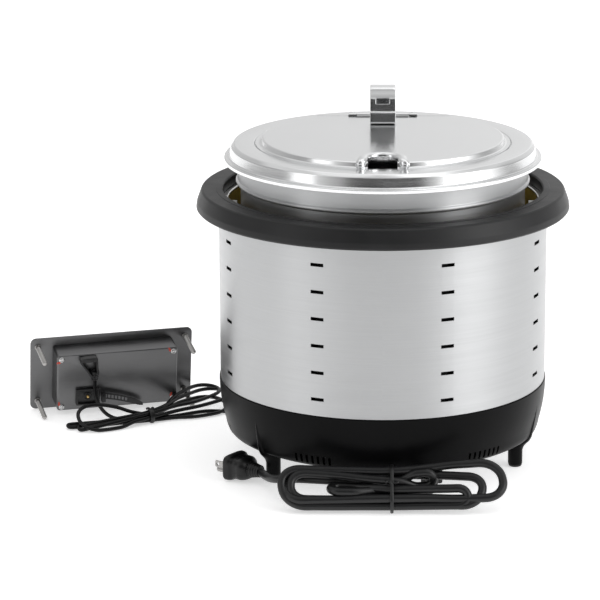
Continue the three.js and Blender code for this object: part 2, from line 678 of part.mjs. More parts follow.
function controlCable() {
  const outward = (g) => around(-135, 116, 15)(g.rotateY(Math.PI / 2));
  let gland = bar(5.4, 3, 0, 24, 10, outward);
  gland = gland.add(block(-7, 7, -7, 7, 9, BASE_BOTTOM, around(-135, 118)));
  add(cords, "control_cable_gland", gland, LOOKS.rubber);
  const out = [[-99.4, 99.4, 15], [-108, 107.4, 12.6], [-119, 115, 8.6], [-131, 120.6, 5], [-141, 122, 4], [-149.6, 120.6, 3.8]];
  add(cords, "control_cable_exit", tube(out, CABLE_D, 8, 8), LOOKS.cord);

  const place = (g) => g.rotateZ(rad(THIN_HANK.turn)).translate(THIN_HANK.x, THIN_HANK.y, THIN_HANK.low);
  const deep = THIN_HANK.high - THIN_HANK.low;
  const outline = new THREE.Shape(THIN_FAN.map(([x, y]) => new THREE.Vector2(x, y)));
  const overStud = block(48.5, 60.5, 26, 80, -1, 10.2, place);
  const folds = extrude(outline, deep, place, 5).subtract(overStud);
  add(cords, "control_cable_hank", folds, LOOKS.cord);
  let tie = block(-2, 2, -8.6, 9.6, deep + GAP, deep + 1.5, place);
  for (const [y0, y1] of [[-8.6, -7 - GAP], [8 + GAP, 9.6]]) {
    tie = tie.add(block(-2, 2, y0, y1, 0, deep + 1.5, place));
  }
  add(cords, "cable_tie", tie, LOOKS.rubber);

  const rise = [[-286.9, 110.2, 36.2], [-286.4, 107.4, 27], [-284.6, 103.6, 18], [-280.6, 98, 10.6], [-274.8, 91.6, 6.4]];
  add(cords, "control_cable_rise", tube(rise, CABLE_D, 8, 6), LOOKS.cord);
}

outerShell();
topRing();
innerWell();
baseHousing();
bottomPlate();
electronics();
soupInset();
lidRing();
lidFlap();
lidHandle();
panelShell();
panelBack();
panelFront();
placePanel();
mainsLead();
mainsPlug();
controlCable();

// The origin is the centre of the footprint of the kettle and the panel, on the floor.
const footprint = new THREE.Box3().setFromObject(kettle, true);
footprint.union(new THREE.Box3().setFromObject(panel, true));
const centre = footprint.getCenter(new THREE.Vector3());
assembly.position.set(-centre.x, -centre.y, 0);

export default assembly;
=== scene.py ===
"""Looks of a drop-in soup kettle with its mains lead, control cable and remote panel."""
import math

import bmesh
import bpy
from mathutils import Matrix, Vector


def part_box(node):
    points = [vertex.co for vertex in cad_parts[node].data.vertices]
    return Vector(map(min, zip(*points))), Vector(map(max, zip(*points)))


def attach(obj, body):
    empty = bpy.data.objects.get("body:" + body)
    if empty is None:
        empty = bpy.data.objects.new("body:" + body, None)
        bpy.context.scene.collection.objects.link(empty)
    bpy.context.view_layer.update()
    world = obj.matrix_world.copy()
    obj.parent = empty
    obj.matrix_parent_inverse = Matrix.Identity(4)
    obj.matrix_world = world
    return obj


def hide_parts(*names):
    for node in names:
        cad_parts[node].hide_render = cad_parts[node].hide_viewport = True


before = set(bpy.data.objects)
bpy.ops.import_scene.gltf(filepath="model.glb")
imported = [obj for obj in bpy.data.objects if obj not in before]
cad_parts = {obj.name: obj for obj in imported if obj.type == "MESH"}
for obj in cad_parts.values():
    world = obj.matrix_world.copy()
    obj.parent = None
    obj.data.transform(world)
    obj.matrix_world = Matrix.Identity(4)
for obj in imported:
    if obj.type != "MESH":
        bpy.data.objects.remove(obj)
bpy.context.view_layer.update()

MM = 0.001
RING_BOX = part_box("top_ring")
AXIS = Vector(((RING_BOX[0].x + RING_BOX[1].x) / 2, (RING_BOX[0].y + RING_BOX[1].y) / 2, 0))
KETTLE = Matrix.Translation(AXIS)
PANEL_LEAN = math.atan(6.7 / 40)
PANEL = (
    Matrix.Translation(AXIS + Vector((-355.1, 130.3, 0)) * MM)
    @ Matrix.Rotation(math.radians(16.7), 4, "Z")
    @ Matrix.Rotation(PANEL_LEAN, 4, "X")
)
# Shapes on the panel are drawn in its plane and rise towards the cable side.
PANEL_FACE = PANEL @ Matrix(((1, 0, 0, 0), (0, 0, -1, 0), (0, 1, 0, 0), (0, 0, 0, 1)))


# ------------------------------------------------------------ camera
def add_camera():
    data = bpy.data.cameras.new("camera")
    data.lens = 185.8
    data.sensor_width = 36
    camera = bpy.data.objects.new("camera", data)
    bpy.context.scene.collection.objects.link(camera)
    yaw, pitch, roll = (math.radians(a) for a in (-1.58, 15.22, -0.30))
    forward = Vector((math.sin(yaw) * math.cos(pitch), math.cos(yaw) * math.cos(pitch), -math.sin(pitch)))
    level = Vector((math.cos(yaw), -math.sin(yaw), 0))
    upright = level.cross(forward)
    right = math.cos(roll) * level + math.sin(roll) * upright
    up = -math.sin(roll) * level + math.cos(roll) * upright
    turn = Matrix((right, up, -forward)).transposed()
    camera.matrix_world = Matrix.Translation((0.08962, -2.85033, 0.9257)) @ turn.to_4x4()
    bpy.context.scene.camera = camera


# ------------------------------------------------------------ materials
class Paint:
    """A node material whose shader constants sit on the shader's own sockets."""

    def __init__(self, name, color, roughness, metallic=0.0, **sockets):
        self.material = bpy.data.materials.new(name)
        self.material.use_nodes = True
        self.tree = self.material.node_tree
        self.shader = self.tree.nodes["Principled BSDF"]
        self.set("Base Color", (*color, 1))
        self.set("Roughness", roughness)
        self.set("Metallic", metallic)
        for key, value in sockets.items():
            self.set(key.replace("_", " "), value)
        self.material.diffuse_color = (*color, 1)

    def set(self, socket, value):
        self.shader.inputs[socket].default_value = value

    def node(self, kind, **values):
        made = self.tree.nodes.new("ShaderNode" + kind)
        for key, value in values.items():
            setattr(made, key, value)
        return made

    def link(self, a, b):
        self.tree.links.new(a, b)

    def math(self, operation, a, b=None, c=None):
        made = self.node("Math", operation=operation)
        for i, value in enumerate((a, b, c)):
            if value is None:
                continue
            if isinstance(value, (int, float)):
                made.inputs[i].default_value = value
            else:
                self.link(value, made.inputs[i])
        return made.outputs[0]

    def place(self):
        return self.node("TexCoord").outputs["Object"]

    def scaled(self, vector, scale):
        made = self.node("Mapping")
        made.inputs["Scale"].default_value = scale
        self.link(vector, made.inputs["Vector"])
        return made.outputs[0]

    def polar(self, around, outwards, height):
        """Coordinates that run around the kettle's axis, out from it and up it."""
        split = self.node("SeparateXYZ")
        self.link(self.place(), split.inputs[0])
        x = self.math("SUBTRACT", split.outputs[0], AXIS.x)
        y = self.math("SUBTRACT", split.outputs[1], AXIS.y)
        angle = self.math("ARCTAN2", x, y)
        radius = self.math(
            "SQRT", self.math("ADD", self.math("MULTIPLY", x, x), self.math("MULTIPLY", y, y)),
        )
        join = self.node("CombineXYZ")
        self.link(self.math("MULTIPLY", angle, around), join.inputs[0])
        self.link(self.math("MULTIPLY", radius, outwards), join.inputs[1])
        self.link(self.math("MULTIPLY", split.outputs[2], height), join.inputs[2])
        return join.outputs[0]

    def noise(self, vector, scale=1.0, detail=3.0, roughness=0.55):
        made = self.node("TexNoise")
        made.inputs["Scale"].default_value = scale
        made.inputs["Detail"].default_value = detail
        made.inputs["Roughness"].default_value = roughness
        self.link(vector, made.inputs["Vector"])
        return made.outputs["Fac"]

    def ramp(self, value, low, high, out_low, out_high):
        made = self.node("MapRange")
        for i, number in enumerate((low, high, out_low, out_high), 1):
            made.inputs[i].default_value = number
        self.link(value, made.inputs[0])
        return made.outputs[0]

    def blend(self, value, dark, light, socket="Base Color"):
        made = self.node("Mix", data_type="RGBA")
        made.inputs[6].default_value = (*dark, 1)
        made.inputs[7].default_value = (*light, 1)
        self.link(value, made.inputs[0])
        if socket:
            self.link(made.outputs[2], self.shader.inputs[socket])
        return made.outputs[2]

    def rough(self, value, low, high):
        self.link(self.ramp(value, 0.3, 0.7, low, high), self.shader.inputs["Roughness"])

    def bump(self, value, strength, depth):
        made = self.node("Bump")
        made.inputs["Strength"].default_value = strength
        made.inputs["Distance"].default_value = depth
        self.link(value, made.inputs["Height"])
        before = self.shader.inputs["Normal"]
        if before.is_linked:
            self.link(before.links[0].from_socket, made.inputs["Normal"])
        self.link(made.outputs[0], before)


def brushed_around(name, color, roughness, grain, spread=0.06, anisotropic=0.6):
    """Steel brushed along its turn: fine lines around the axis, each a little brighter or darker."""
    paint = Paint(name, color, roughness, 1.0, Anisotropic=anisotropic, Anisotropic_Rotation=0.25)
    tangent = paint.node("Tangent", direction_type="RADIAL", axis="Z")
    paint.link(tangent.outputs[0], paint.shader.inputs["Tangent"])
    fine = paint.noise(paint.polar(2.2, grain, grain), 1.0, 4.0, 0.7)
    wide = paint.noise(paint.polar(1.2, grain / 7, grain / 7), 1.0, 2.0)
    mixed = paint.math("MULTIPLY_ADD", wide, 0.45, paint.math("MULTIPLY", fine, 0.55))
    dark = [c * (1 - spread) for c in color]
    light = [min(1, c * (1 + spread)) for c in color]
    paint.blend(paint.ramp(mixed, 0.35, 0.65, 0, 1), dark, light)
    paint.rough(mixed, roughness * 0.85, roughness * 1.2)
    paint.bump(fine, 0.12, 0.00005)
    return paint.material


def polished(name, color, roughness, around, outwards, height):
    """Mirror finish with faint buffing lines and a few soft smears."""
    paint = Paint(name, color, roughness, 1.0)
    lines = paint.noise(paint.polar(around, outwards, height), 1.0, 5.0, 0.65)
    smear = paint.noise(paint.scaled(paint.place(), (14, 14, 14)), 1.0, 2.0)
    paint.rough(
        paint.math("MULTIPLY_ADD", smear, 0.5, paint.math("MULTIPLY", lines, 0.5)), roughness * 0.6,
        roughness * 1.7,
    )
    paint.blend(
        paint.ramp(lines, 0.3, 0.7, 0, 1), [c * 0.97 for c in color],
        [min(1, c * 1.02) for c in color],
    )
    paint.bump(lines, 0.05, 0.00004)
    return paint.material


def brushed_flat(name, color, roughness, scale, spread=0.12):
    """Sheet steel brushed along its length, with rolled patches."""
    paint = Paint(name, color, roughness, 1.0)
    local = paint.node("Mapping")
    local.inputs["Rotation"].default_value = (0, 0, -math.radians(16.7))
    paint.link(paint.place(), local.inputs["Vector"])
    grain = paint.noise(paint.scaled(local.outputs[0], scale), 1.0, 5.0, 0.7)
    cloud = paint.noise(paint.scaled(local.outputs[0], (22, 22, 30)), 1.0, 3.0)
    mixed = paint.math("MULTIPLY_ADD", cloud, 0.6, paint.math("MULTIPLY", grain, 0.4))
    paint.blend(
        paint.ramp(mixed, 0.3, 0.7, 0, 1), [c * (1 - spread) for c in color],
        [min(1, c * (1 + spread)) for c in color],
    )
    paint.rough(mixed, roughness * 0.85, roughness * 1.25)
    paint.bump(grain, 0.15, 0.00006)
    return paint.material


def moulded(name, color, roughness, grain=900, strength=0.2, depth=0.00012, lift=1.5, **sockets):
    """Moulded plastic or rubber: fine pebble grain with slow changes of tone and gloss."""
    paint = Paint(name, color, roughness, 0.0, **sockets)
    pebble = paint.noise(paint.place(), grain, 3.0, 0.6)
    slow = paint.noise(paint.place(), 24, 3.0)
    paint.blend(
        paint.ramp(slow, 0.3, 0.7, 0, 1), [c * 0.85 for c in color],
        [min(1, c * lift) for c in color],
    )
    paint.rough(
        paint.math("MULTIPLY_ADD", slow, 0.7, paint.math("MULTIPLY", pebble, 0.3)),
        roughness * 0.85, roughness * 1.15,
    )
    paint.bump(pebble, strength, depth)
    return paint.material


def coil_winding():
    """Enamelled copper laid in tight rings."""
    paint = Paint("coil_winding", (0.45, 0.19, 0.08), 0.35, 1.0, Coat_Weight=0.5)
    split = paint.node("SeparateXYZ")
    paint.link(paint.polar(1, 1, 1), split.inputs[0])
    rings = paint.math("SINE", paint.math("MULTIPLY", split.outputs[1], 2200))
    paint.blend(paint.ramp(rings, -1, 1, 0, 1), (0.2, 0.07, 0.03), (0.6, 0.28, 0.12))
    paint.bump(rings, 0.6, 0.0004)
    return paint.material


def circuit():
    """Solder mask with copper fields and small pads."""
    paint = Paint("circuit", (0.03, 0.14, 0.06), 0.35, 0.0, Coat_Weight=0.4)
    cell = paint.node("TexVoronoi", feature="F1", distance="CHEBYCHEV")
    cell.inputs["Scale"].default_value = 160
    paint.link(paint.place(), cell.inputs["Vector"])
    traces = paint.math("LESS_THAN", cell.outputs["Distance"], 0.24)
    paint.blend(traces, (0.02, 0.12, 0.05), (0.32, 0.28, 0.12))
    paint.bump(traces, 0.3, 0.0001)
    return paint.material


def hob_glass():
    """Black glass ceramic with a printed zone ring and a fine speckle."""
    paint = Paint("hob_glass", (0.012, 0.012, 0.014), 0.08, 0.0, Coat_Weight=0.6, Coat_Roughness=0.04)
    split = paint.node("SeparateXYZ")
    paint.link(paint.polar(1, 1, 1), split.inputs[0])
    off = paint.math("ABSOLUTE", paint.math("SUBTRACT", split.outputs[1], 0.096))
    ring = paint.math("LESS_THAN", off, 0.0009)
    speckle = paint.math("GREATER_THAN", paint.noise(paint.place(), 1400, 1.0), 0.68)
    marks = paint.math("MAXIMUM", ring, paint.math("MULTIPLY", speckle, 0.25))
    paint.blend(marks, (0.012, 0.012, 0.014), (0.35, 0.35, 0.36))
    return paint.material


def make_materials():
    steel = (0.505, 0.51, 0.515)
    return {
        "shell": brushed_around("shell_brushed", steel, 0.36, 900, 0.05, 0.75),
        "lid": polished("lid_polished", (0.82, 0.825, 0.83), 0.17, 3, 700, 700),
        "inset": brushed_around("inset_satin", (0.49, 0.495, 0.5), 0.32, 700, 0.04, 0.85),
        "rim": brushed_around("rim_steel", (0.78, 0.78, 0.77), 0.25, 600),
        "handle": polished("handle_polished", (0.84, 0.845, 0.85), 0.10, 90, 90, 700),
        "ring": moulded(
            "ring_resin", (0.0085, 0.0085, 0.009), 0.44, 700, 0.3, 0.00015, Specular_IOR_Level=0.35,
        ),
        "base": moulded(
            "base_resin", (0.0022, 0.0022, 0.0024), 0.34, 800, 0.2, 0.0001, Specular_IOR_Level=0.08,
        ),
        "rubber": moulded("rubber_soft", (0.006, 0.006, 0.0062), 0.55, 600, 0.3, 0.00015),
        "cord": moulded(
            "cord_jacket", (0.0075, 0.0075, 0.008), 0.36, 1100, 0.2, 0.00008,
            Specular_IOR_Level=0.42,
        ),
        "thin_cord": moulded(
            "thin_cord_jacket", (0.0025, 0.0025, 0.0027), 0.34, 1400, 0.2, 0.00006,
            Specular_IOR_Level=0.3,
        ),
        "plug": moulded(
            "plug_body", (0.0035, 0.0035, 0.0037), 0.36, 700, 0.25, 0.0001, Specular_IOR_Level=0.4,
        ),
        "liner": moulded("liner_coat", (0.52, 0.37, 0.07), 0.5, 500, 0.2, 0.0001, 1.15),
        "pad": moulded("pad_white", (0.78, 0.77, 0.73), 0.5, 500, 0.15, 0.0001, 1.04),
        "plate": brushed_flat("plate_steel", (0.16, 0.16, 0.162), 0.38, (30, 30, 1600)),
        "box": brushed_flat("box_steel", (0.155, 0.155, 0.157), 0.33, (30, 30, 1300)),
        "stud": brushed_flat("stud_steel", (0.42, 0.41, 0.40), 0.3, (500, 500, 500)),
        "zinc": brushed_flat("zinc_steel", (0.6, 0.6, 0.6), 0.22, (300, 300, 300)),
        "dark": brushed_flat("dark_steel", (0.3, 0.305, 0.31), 0.4, (60, 60, 60)),
        # painted shade: near-black matte for the sheet that darkens the shell's slots
        "painted_shade": moulded("painted_shade_sheet", (0.004, 0.004, 0.004), 0.7, 500, 0.2, 0.0001),
        "aluminium": brushed_flat("cast_aluminium", (0.62, 0.63, 0.64), 0.42, (400, 400, 400)),
        "brass": brushed_flat("pin_brass", (0.75, 0.52, 0.2), 0.28, (500, 500, 500)),
        "paint_mark": moulded("paint_mark", (0.55, 0.05, 0.025), 0.45, 500, 0.3, 0.0001),
        "strap": moulded("strap_nylon", (0.006, 0.006, 0.0063), 0.4, 900, 0.15, 0.00008),
        "overlay": moulded("overlay_film", (0.02, 0.02, 0.022), 0.32, 1500, 0.3, 0.00006),
        "key": moulded("key_cap", (0.36, 0.37, 0.39), 0.4, 900, 0.15, 0.00006, 1.1),
        "icon": moulded("key_icon", (0.02, 0.02, 0.022), 0.4, 900, 0.1, 0.00004),
        "window": moulded(
            "display_window", (0.01, 0.011, 0.013), 0.07, 60, 0.02, 0.00002, 1.2, Coat_Weight=0.5,
        ),
        "digit": moulded("display_digit", (0.16, 0.03, 0.02), 0.3, 800, 0.1, 0.00003, 1.1),
        "coil": coil_winding(),
        "circuit": circuit(),
        "glass": hob_glass(),
    }


# ------------------------------------------------------------ mesh tools
def finish_mesh(obj, material, sharp=35):
    obj.data.materials.clear()
    obj.data.materials.append(material)
    obj.data.shade_smooth()
    obj.data.set_sharp_from_angle(angle=math.radians(sharp))
    return obj


def from_bmesh(name, mesh, place, material, sharp=35):
    """A new object from a bmesh drawn in millimetres."""
    bmesh.ops.remove_doubles(mesh, verts=mesh.verts, dist=1e-4)
    bmesh.ops.recalc_face_normals(mesh, faces=mesh.faces)
    mesh.transform(place @ Matrix.Diagonal((MM, MM, MM, 1)))
    data = bpy.data.meshes.new(name)
    mesh.to_mesh(data)
    mesh.free()
    obj = bpy.data.objects.new(name, data)
    bpy.context.scene.collection.objects.link(obj)
    return finish_mesh(obj, material, sharp)


def applied(obj, sharp=35):
    """Bakes the object's modifiers into its mesh."""
    graph = bpy.context.evaluated_depsgraph_get()
    data = bpy.data.meshes.new_from_object(obj.evaluated_get(graph))
    obj.modifiers.clear()
    old, obj.data = obj.data, data
    material = old.materials[0]
    bpy.data.meshes.remove(old)
    return finish_mesh(obj, material, sharp)


def thicken(obj, thickness, sharp=35):
    """Gives a sheet its thickness behind its face, with closed edges."""
    modifier = obj.modifiers.new("thick", "SOLIDIFY")
    modifier.thickness = thickness * MM
    modifier.offset = -1
    modifier.use_even_offset = True
    return applied(obj, sharp)


def bevelled(obj, width, segments=3, angle=30, sharp=35):
    modifier = obj.modifiers.new("bevel", "BEVEL")
    modifier.width = width * MM
    modifier.segments = segments
    modifier.limit_method = "ANGLE"
    modifier.angle_limit = math.radians(angle)
    modifier.use_clamp_overlap = True
    return applied(obj, sharp)


def joined(name, parts, sharp=35):
    """Joins objects into the first one, keeping each one's material."""
    main = parts[0]
    made = bmesh.new()
    materials = []
    for part in parts:
        slot = part.data.materials[0]
        if slot not in materials:
            materials.append(slot)
        start = len(made.faces)
        made.from_mesh(part.data)
        made.faces.ensure_lookup_table()
        for face in made.faces[start:]:
            face.material_index = materials.index(slot)
    data = bpy.data.meshes.new(name)
    made.to_mesh(data)
    made.free()
    for slot in materials:
        data.materials.append(slot)
    for part in parts[1:]:
        bpy.data.objects.remove(part)
    main.data = data
    main.name = name
    data.shade_smooth()
    data.set_sharp_from_angle(angle=math.radians(sharp))
    return main


def rounded(points, closed=True, steps=4):
    """Corner points with an optional third number, a fillet radius, as a line with arcs."""
    line = []
    count = len(points)
    for i, point in enumerate(points):
        corner = Vector(point[:2])
        radius = point[2] if len(point) > 2 else 0
        end = not closed and i in (0, count - 1)
        if radius <= 0 or end:
            line.append(corner)
            continue
        before = Vector(points[i - 1][:2])
        after = Vector(points[(i + 1) % count][:2])
        a, b = before - corner, after - corner
        half = a.angle(b) / 2
        if half > 1.555:
            line.append(corner)
            continue
        reach = min(radius / math.tan(half), 0.48 * a.length, 0.48 * b.length)
        radius = reach * math.tan(half)
        a.normalize()
        b.normalize()
        middle = corner + (a + b).normalized() * (radius / math.sin(half))
        start, stop = corner + a * reach - middle, corner + b * reach - middle
        sweep = start.angle_signed(stop)
        for k in range(steps + 1):
            turn = Matrix.Rotation(-sweep * k / steps, 2)
            line.append(middle + turn @ start)
    return line


def circle(radius, sides, x=0.0, y=0.0, start=0.0, stretch=1.0):
    turns = [2 * math.pi * (i / sides) + start for i in range(sides)]
    return [Vector((x + radius * math.cos(a), y + radius * stretch * math.sin(a))) for a in turns]


def lathe_mesh(profile, sides=256, closed=True, turn=0.0):
    mesh = bmesh.new()
    rings = []
    for k in range(sides):
        a = 2 * math.pi * k / sides + turn
        rings.append([mesh.verts.new((p[0] * math.cos(a), p[0] * math.sin(a), p[1])) for p in profile])
    count = len(profile)
    for k in range(sides):
        one, two = rings[k], rings[(k + 1) % sides]
        for i in range(count if closed else count - 1):
            j = (i + 1) % count
            if profile[i][0] < 1e-6 and profile[j][0] < 1e-6:
                continue
            mesh.faces.new((one[i], two[i], two[j], one[j]))
    return mesh


def lathe(name, profile, material, place=KETTLE, sides=256, closed=True, steps=4, sharp=35):
    line = rounded(profile, closed, steps)
    return from_bmesh(name, lathe_mesh(line, sides, closed), place, material, sharp)


def prism_mesh(outline, low, high):
    mesh = bmesh.new()
    bottom = [mesh.verts.new((p[0], p[1], low)) for p in outline]
    top = [mesh.verts.new((p[0], p[1], high)) for p in outline]
    mesh.faces.new(bottom)
    mesh.faces.new(top)
    for i in range(len(outline)):
        j = (i + 1) % len(outline)
        mesh.faces.new((bottom[i], bottom[j], top[j], top[i]))
    return mesh


def prism(name, outline, low, high, material, place=KETTLE, bevel=0.0, segments=2, steps=5, sharp=35):
    mesh = prism_mesh(rounded(outline, True, steps), low, high)
    obj = from_bmesh(name, mesh, place, material, sharp)
    return bevelled(obj, bevel, segments, 40, sharp) if bevel else obj


def rectangle(x0, x1, y0, y1, radius=0.0):
    return [(x0, y0, radius), (x1, y0, radius), (x1, y1, radius), (x0, y1, radius)]


def grid_sheet(columns, rows, point, hole=None, wrap=False):
    """A sheet of quads: point(column, row) gives each corner, hole(i, j) leaves a cell out."""
    mesh = bmesh.new()
    verts = [[mesh.verts.new(point(c, r)) for r in rows] for c in columns]
    last = len(columns) if wrap else len(columns) - 1
    for i in range(last):
        for j in range(len(rows) - 1):
            if hole and hole(i, j):
                continue
            k = (i + 1) % len(columns)
            mesh.faces.new((verts[i][j], verts[k][j], verts[k][j + 1], verts[i][j + 1]))
    loose = [v for v in mesh.verts if not v.link_faces]
    bmesh.ops.delete(mesh, geom=loose, context="VERTS")
    return mesh


def skin(rings, closed=False):
    """A bmesh through rings of as many points each, with its two ends capped unless it closes on itself."""
    mesh = bmesh.new()
    rings = [[mesh.verts.new(p) for p in ring] for ring in rings]
    following = rings[1:] + rings[:1] if closed else rings[1:]
    for one, two in zip(rings, following):
        for k in range(len(one)):
            j = (k + 1) % len(one)
            mesh.faces.new((one[k], one[j], two[j], two[k]))
    if not closed:
        mesh.faces.new(rings[0])
        mesh.faces.new(rings[-1])
    return mesh


def swept(
    name, path, section, material, place=KETTLE, up=Vector((0, 0, 1)), closed=False, sharp=35,
    scale=None,
):
    """A section swept along a path: section x runs across, section y runs along up."""
    rings = []
    count = len(path)
    for i, point in enumerate(path):
        before = path[i - 1] if closed or i else path[0]
        after = path[(i + 1) % count] if closed or i < count - 1 else path[-1]
        ahead = (after - before).normalized()
        side = ahead.cross(up).normalized()
        lift = side.cross(ahead)
        size = scale(i / (count - 1)) if scale else 1
        rings.append([point + (side * s[0] + lift * s[1]) * size for s in section])
    return from_bmesh(name, skin(rings, closed), place, material, sharp)


def along(points, step=2.0):
    """A smooth line through points, as a centripetal Catmull-Rom spline with even steps."""
    points = [Vector(p) for p in points]
    padded = [2 * points[0] - points[1], *points, 2 * points[-1] - points[-2]]
    line = []
    for a, b, c, d in zip(padded, padded[1:], padded[2:], padded[3:]):
        t0 = 0.0
        t1 = t0 + math.sqrt((b - a).length)
        t2 = t1 + math.sqrt((c - b).length)
        t3 = t2 + math.sqrt((d - c).length)
        pieces = max(1, round((c - b).length / step))
        for k in range(pieces):
            t = t1 + (t2 - t1) * k / pieces
            one = a.lerp(b, (t - t0) / (t1 - t0))
            two = b.lerp(c, (t - t1) / (t2 - t1))
            three = c.lerp(d, (t - t2) / (t3 - t2))
            four = one.lerp(two, (t - t0) / (t2 - t0))
            five = two.lerp(three, (t - t1) / (t3 - t1))
            line.append(four.lerp(five, (t - t1) / (t2 - t1)))
    line.append(points[-1])
    return line


def settle(piece, body, slot, *nodes):
    """Rides the piece on its body and hides the CAD nodes that it stands for; slot is not used."""
    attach(piece, body)
    if nodes:
        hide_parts(*nodes)
    return piece


# ------------------------------------------------------------ cords
def cord_curve(name, points, diameter, material):
    """One open spline through points given in millimetres around the kettle's axis."""
    data = bpy.data.curves.new(name, "CURVE")
    data.dimensions = "3D"
    data.bevel_depth = diameter / 2 * MM
    data.bevel_resolution = 5
    data.use_fill_caps = True
    rest = diameter / 2 + 0.1
    line = [AXIS + Vector((p.x, p.y, max(p.z, rest))) * MM for p in along(points, 3.0)]
    spline = data.splines.new("NURBS")
    spline.points.add(len(line) - 1)
    for point, spot in zip(spline.points, line):
        point.co = (*spot, 1)
    spline.order_u = 4
    spline.use_endpoint_u = True
    spline.resolution_u = 2
    spline.use_smooth = True
    data.materials.append(material)
    obj = bpy.data.objects.new(name, data)
    bpy.context.scene.collection.objects.link(obj)
    return obj, sum((b - a).length for a, b in zip(line, line[1:]))


def lobe(start, tip, half, end, swell=0.62):
    """One fold of a hank, from the tie at start out to tip and back to the tie at end.

    Every point is (along, across, depth) in the hank's own axes. half is half the width of the
    fold's round end, and swell is how early the two runs reach their full spread."""
    start, tip, end, half = Vector(start), Vector(tip), Vector(end), Vector(half)
    middle = (start + end) / 2
    ahead = (tip - middle).normalized()
    centre = tip - ahead * half.length
    points = []
    for share in (0.1, 0.36, swell, 0.86):
        ease = share * share * (3 - 2 * share) if share < 1 else 1
        run = start.lerp(centre + half, share)
        bow = (start - middle).lerp(half, min(1, ease * 1.25))
        points.append(middle.lerp(centre, share) + bow if share > 0.2 else run)
    for degrees in (80, 50, 20, -20, -50, -80):
        a = math.radians(degrees)
        points.append(centre + half * math.sin(a) + ahead * half.length * math.cos(a))
    for share in (0.86, swell, 0.36, 0.1):
        ease = share * share * (3 - 2 * share)
        run = end.lerp(centre - half, share)
        bow = (end - middle).lerp(-half, min(1, ease * 1.25))
        points.append(middle.lerp(centre, share) + bow if share > 0.2 else run)
    return points


def hank_place(origin, across, depth):
    """Maps (along, across, depth) of a hank to millimetres around the kettle's axis."""
    origin, across, depth = Vector(origin), Vector(across), Vector(depth)
    lengthways = across.cross(depth)
    return lambda p: origin + lengthways * p[0] + across * p[1] + depth * p[2]


LEAN = math.sqrt(0.5)
mains_at = hank_place((9, -183, 2.4), (0, LEAN, LEAN), (0, -LEAN, LEAN))
THIN_TURN = math.radians(21)
thin_at = hank_place((-230, 89, 0), (-math.sin(THIN_TURN), math.cos(THIN_TURN), 0), (0, 0, 1))

MAINS_D = 8
CABLE_D = 3.8


def mains_cord(paint):
    """Nine strands through the tie: front ones F and rear ones R, at (across, depth)."""
    F1, F2, F3, F4 = (33.5, 12), (23.5, 12.5), (14.5, 12.5), (6, 12)
    R1, R2, R3, R4, R5 = (34.5, 4), (26, 4.5), (17.5, 4.5), (9.5, 4.5), (1.8, 4.5)
    at = lambda spot: (0, *spot)
    left = {
        "bulb": lambda a, b: lobe(at(a), (-56, 17, 9), (0, -5.5, 5.5), at(b), 0.7),
        "outer": lambda a, b: lobe(at(a), (-100.5, 18.5, 8), (3, -17, -3), at(b), 0.55),
        "second": lambda a, b: lobe(at(a), (-97, 19.5, 6), (0, -14.5, 3), at(b), 0.55),
        "third": lambda a, b: lobe(at(a), (-92.5, 20, 9), (0, -12, -2), at(b), 0.55),
    }
    right = {
        "low": lambda a, b: lobe(at(a), (69, 9, 10), (0, 6.5, 4), at(b), 0.7),
        "outer": lambda a, b: lobe(at(a), (101, 27, 9), (-3, 17, 1), at(b), 0.66),
        "third": lambda a, b: lobe(at(a), (82, 15, 7), (4, 14, 1), at(b), 0.6),
        "high": lambda a, b: lobe(at(a), (38, 27.5, 9), (0, -4, -5.5), at(b), 0.7),
    }
    hank = [
        *left["bulb"](R3, F3),
        *right["low"](F3, R5),
        *left["outer"](R5, F1),
        *right["outer"](F1, F4),
        *left["second"](F4, R1),
        *right["third"](R1, R4),
        *left["third"](R4, F2),
        *right["high"](F2, R2),
        (-12, *R2),
        (-40, 27, 4.2),
        (-66, 28.5, 4),
    ]
    start = [
        (46, -148.3, 14), (46, -152.5, 13.8), (45.6, -157, 13.8), (43, -163, 14.6),
        (38, -168, 16.2), (30.5, -171.5, 17.6),
    ]
    lead = [
        (-77, -160, 24.4), (-88, -154.5, 22.4), (-97, -147, 19.8), (-103, -136.5, 17),
        (-107, -124, 14.6), (-110, -114, 13), (-112.2, -107, 12.5),
    ]
    points = [Vector(p) for p in start] + [mains_at(p) for p in hank] + [Vector(p) for p in lead]
    return cord_curve("mains_cord", points, MAINS_D, paint)


def control_cable(paint):
    """Seven strands through the tie, three folds each way; the last run rises to the panel."""
    A, B, C, D, E, F, G = (0, 6.2), (3.9, 6.2), (-3.9, 6.2), (2, 9.8), (-2, 9.8), (2, 2.4), (-2, 2.4)
    at = lambda spot: (0, *spot)
    hank = [
        (60, 4, 3.6),
        (30, 3, 2.8),
        (10, *F),
        *lobe(at(F), (-84, 6, 3), (0, 3.4, 0.6), at(G), 0.7),
        *lobe(at(G), (84, 22, 6), (4, -19, -3), at(B), 0.6),
        *lobe(at(B), (-74, 3, 11), (1, 17, 8), at(C), 0.55),
        *lobe(at(C), (92, 46, 10), (9, -15, -1), at(D), 0.6),
        *lobe(at(D), (-76, -6, 3), (0, 3, 1), at(E), 0.7),
        *lobe(at(E), (84, 58, 12), (9, -12, -1), at(A), 0.6),
        (-10, *A),
        (-22, 5, 5),
    ]
    out = [
        (-99.4, 99.4, 15), (-104, 104, 13.6), (-110, 109.6, 11), (-117, 115, 7.8), (-125, 119, 4.6),
        (-134, 121.6, 2.6), (-144, 121.6, 2), (-154, 118.6, 2),
    ]
    rise = [
        (-265, 87.5, 4), (-275, 93.5, 7), (-282, 100, 13), (-286, 105.6, 21), (-287, 108.6, 29),
        (-287.2, 111, 36.6),
    ]
    points = [Vector(p) for p in out] + [thin_at(p) for p in hank] + [Vector(p) for p in rise]
    return cord_curve("control_cable", points, CABLE_D, paint)


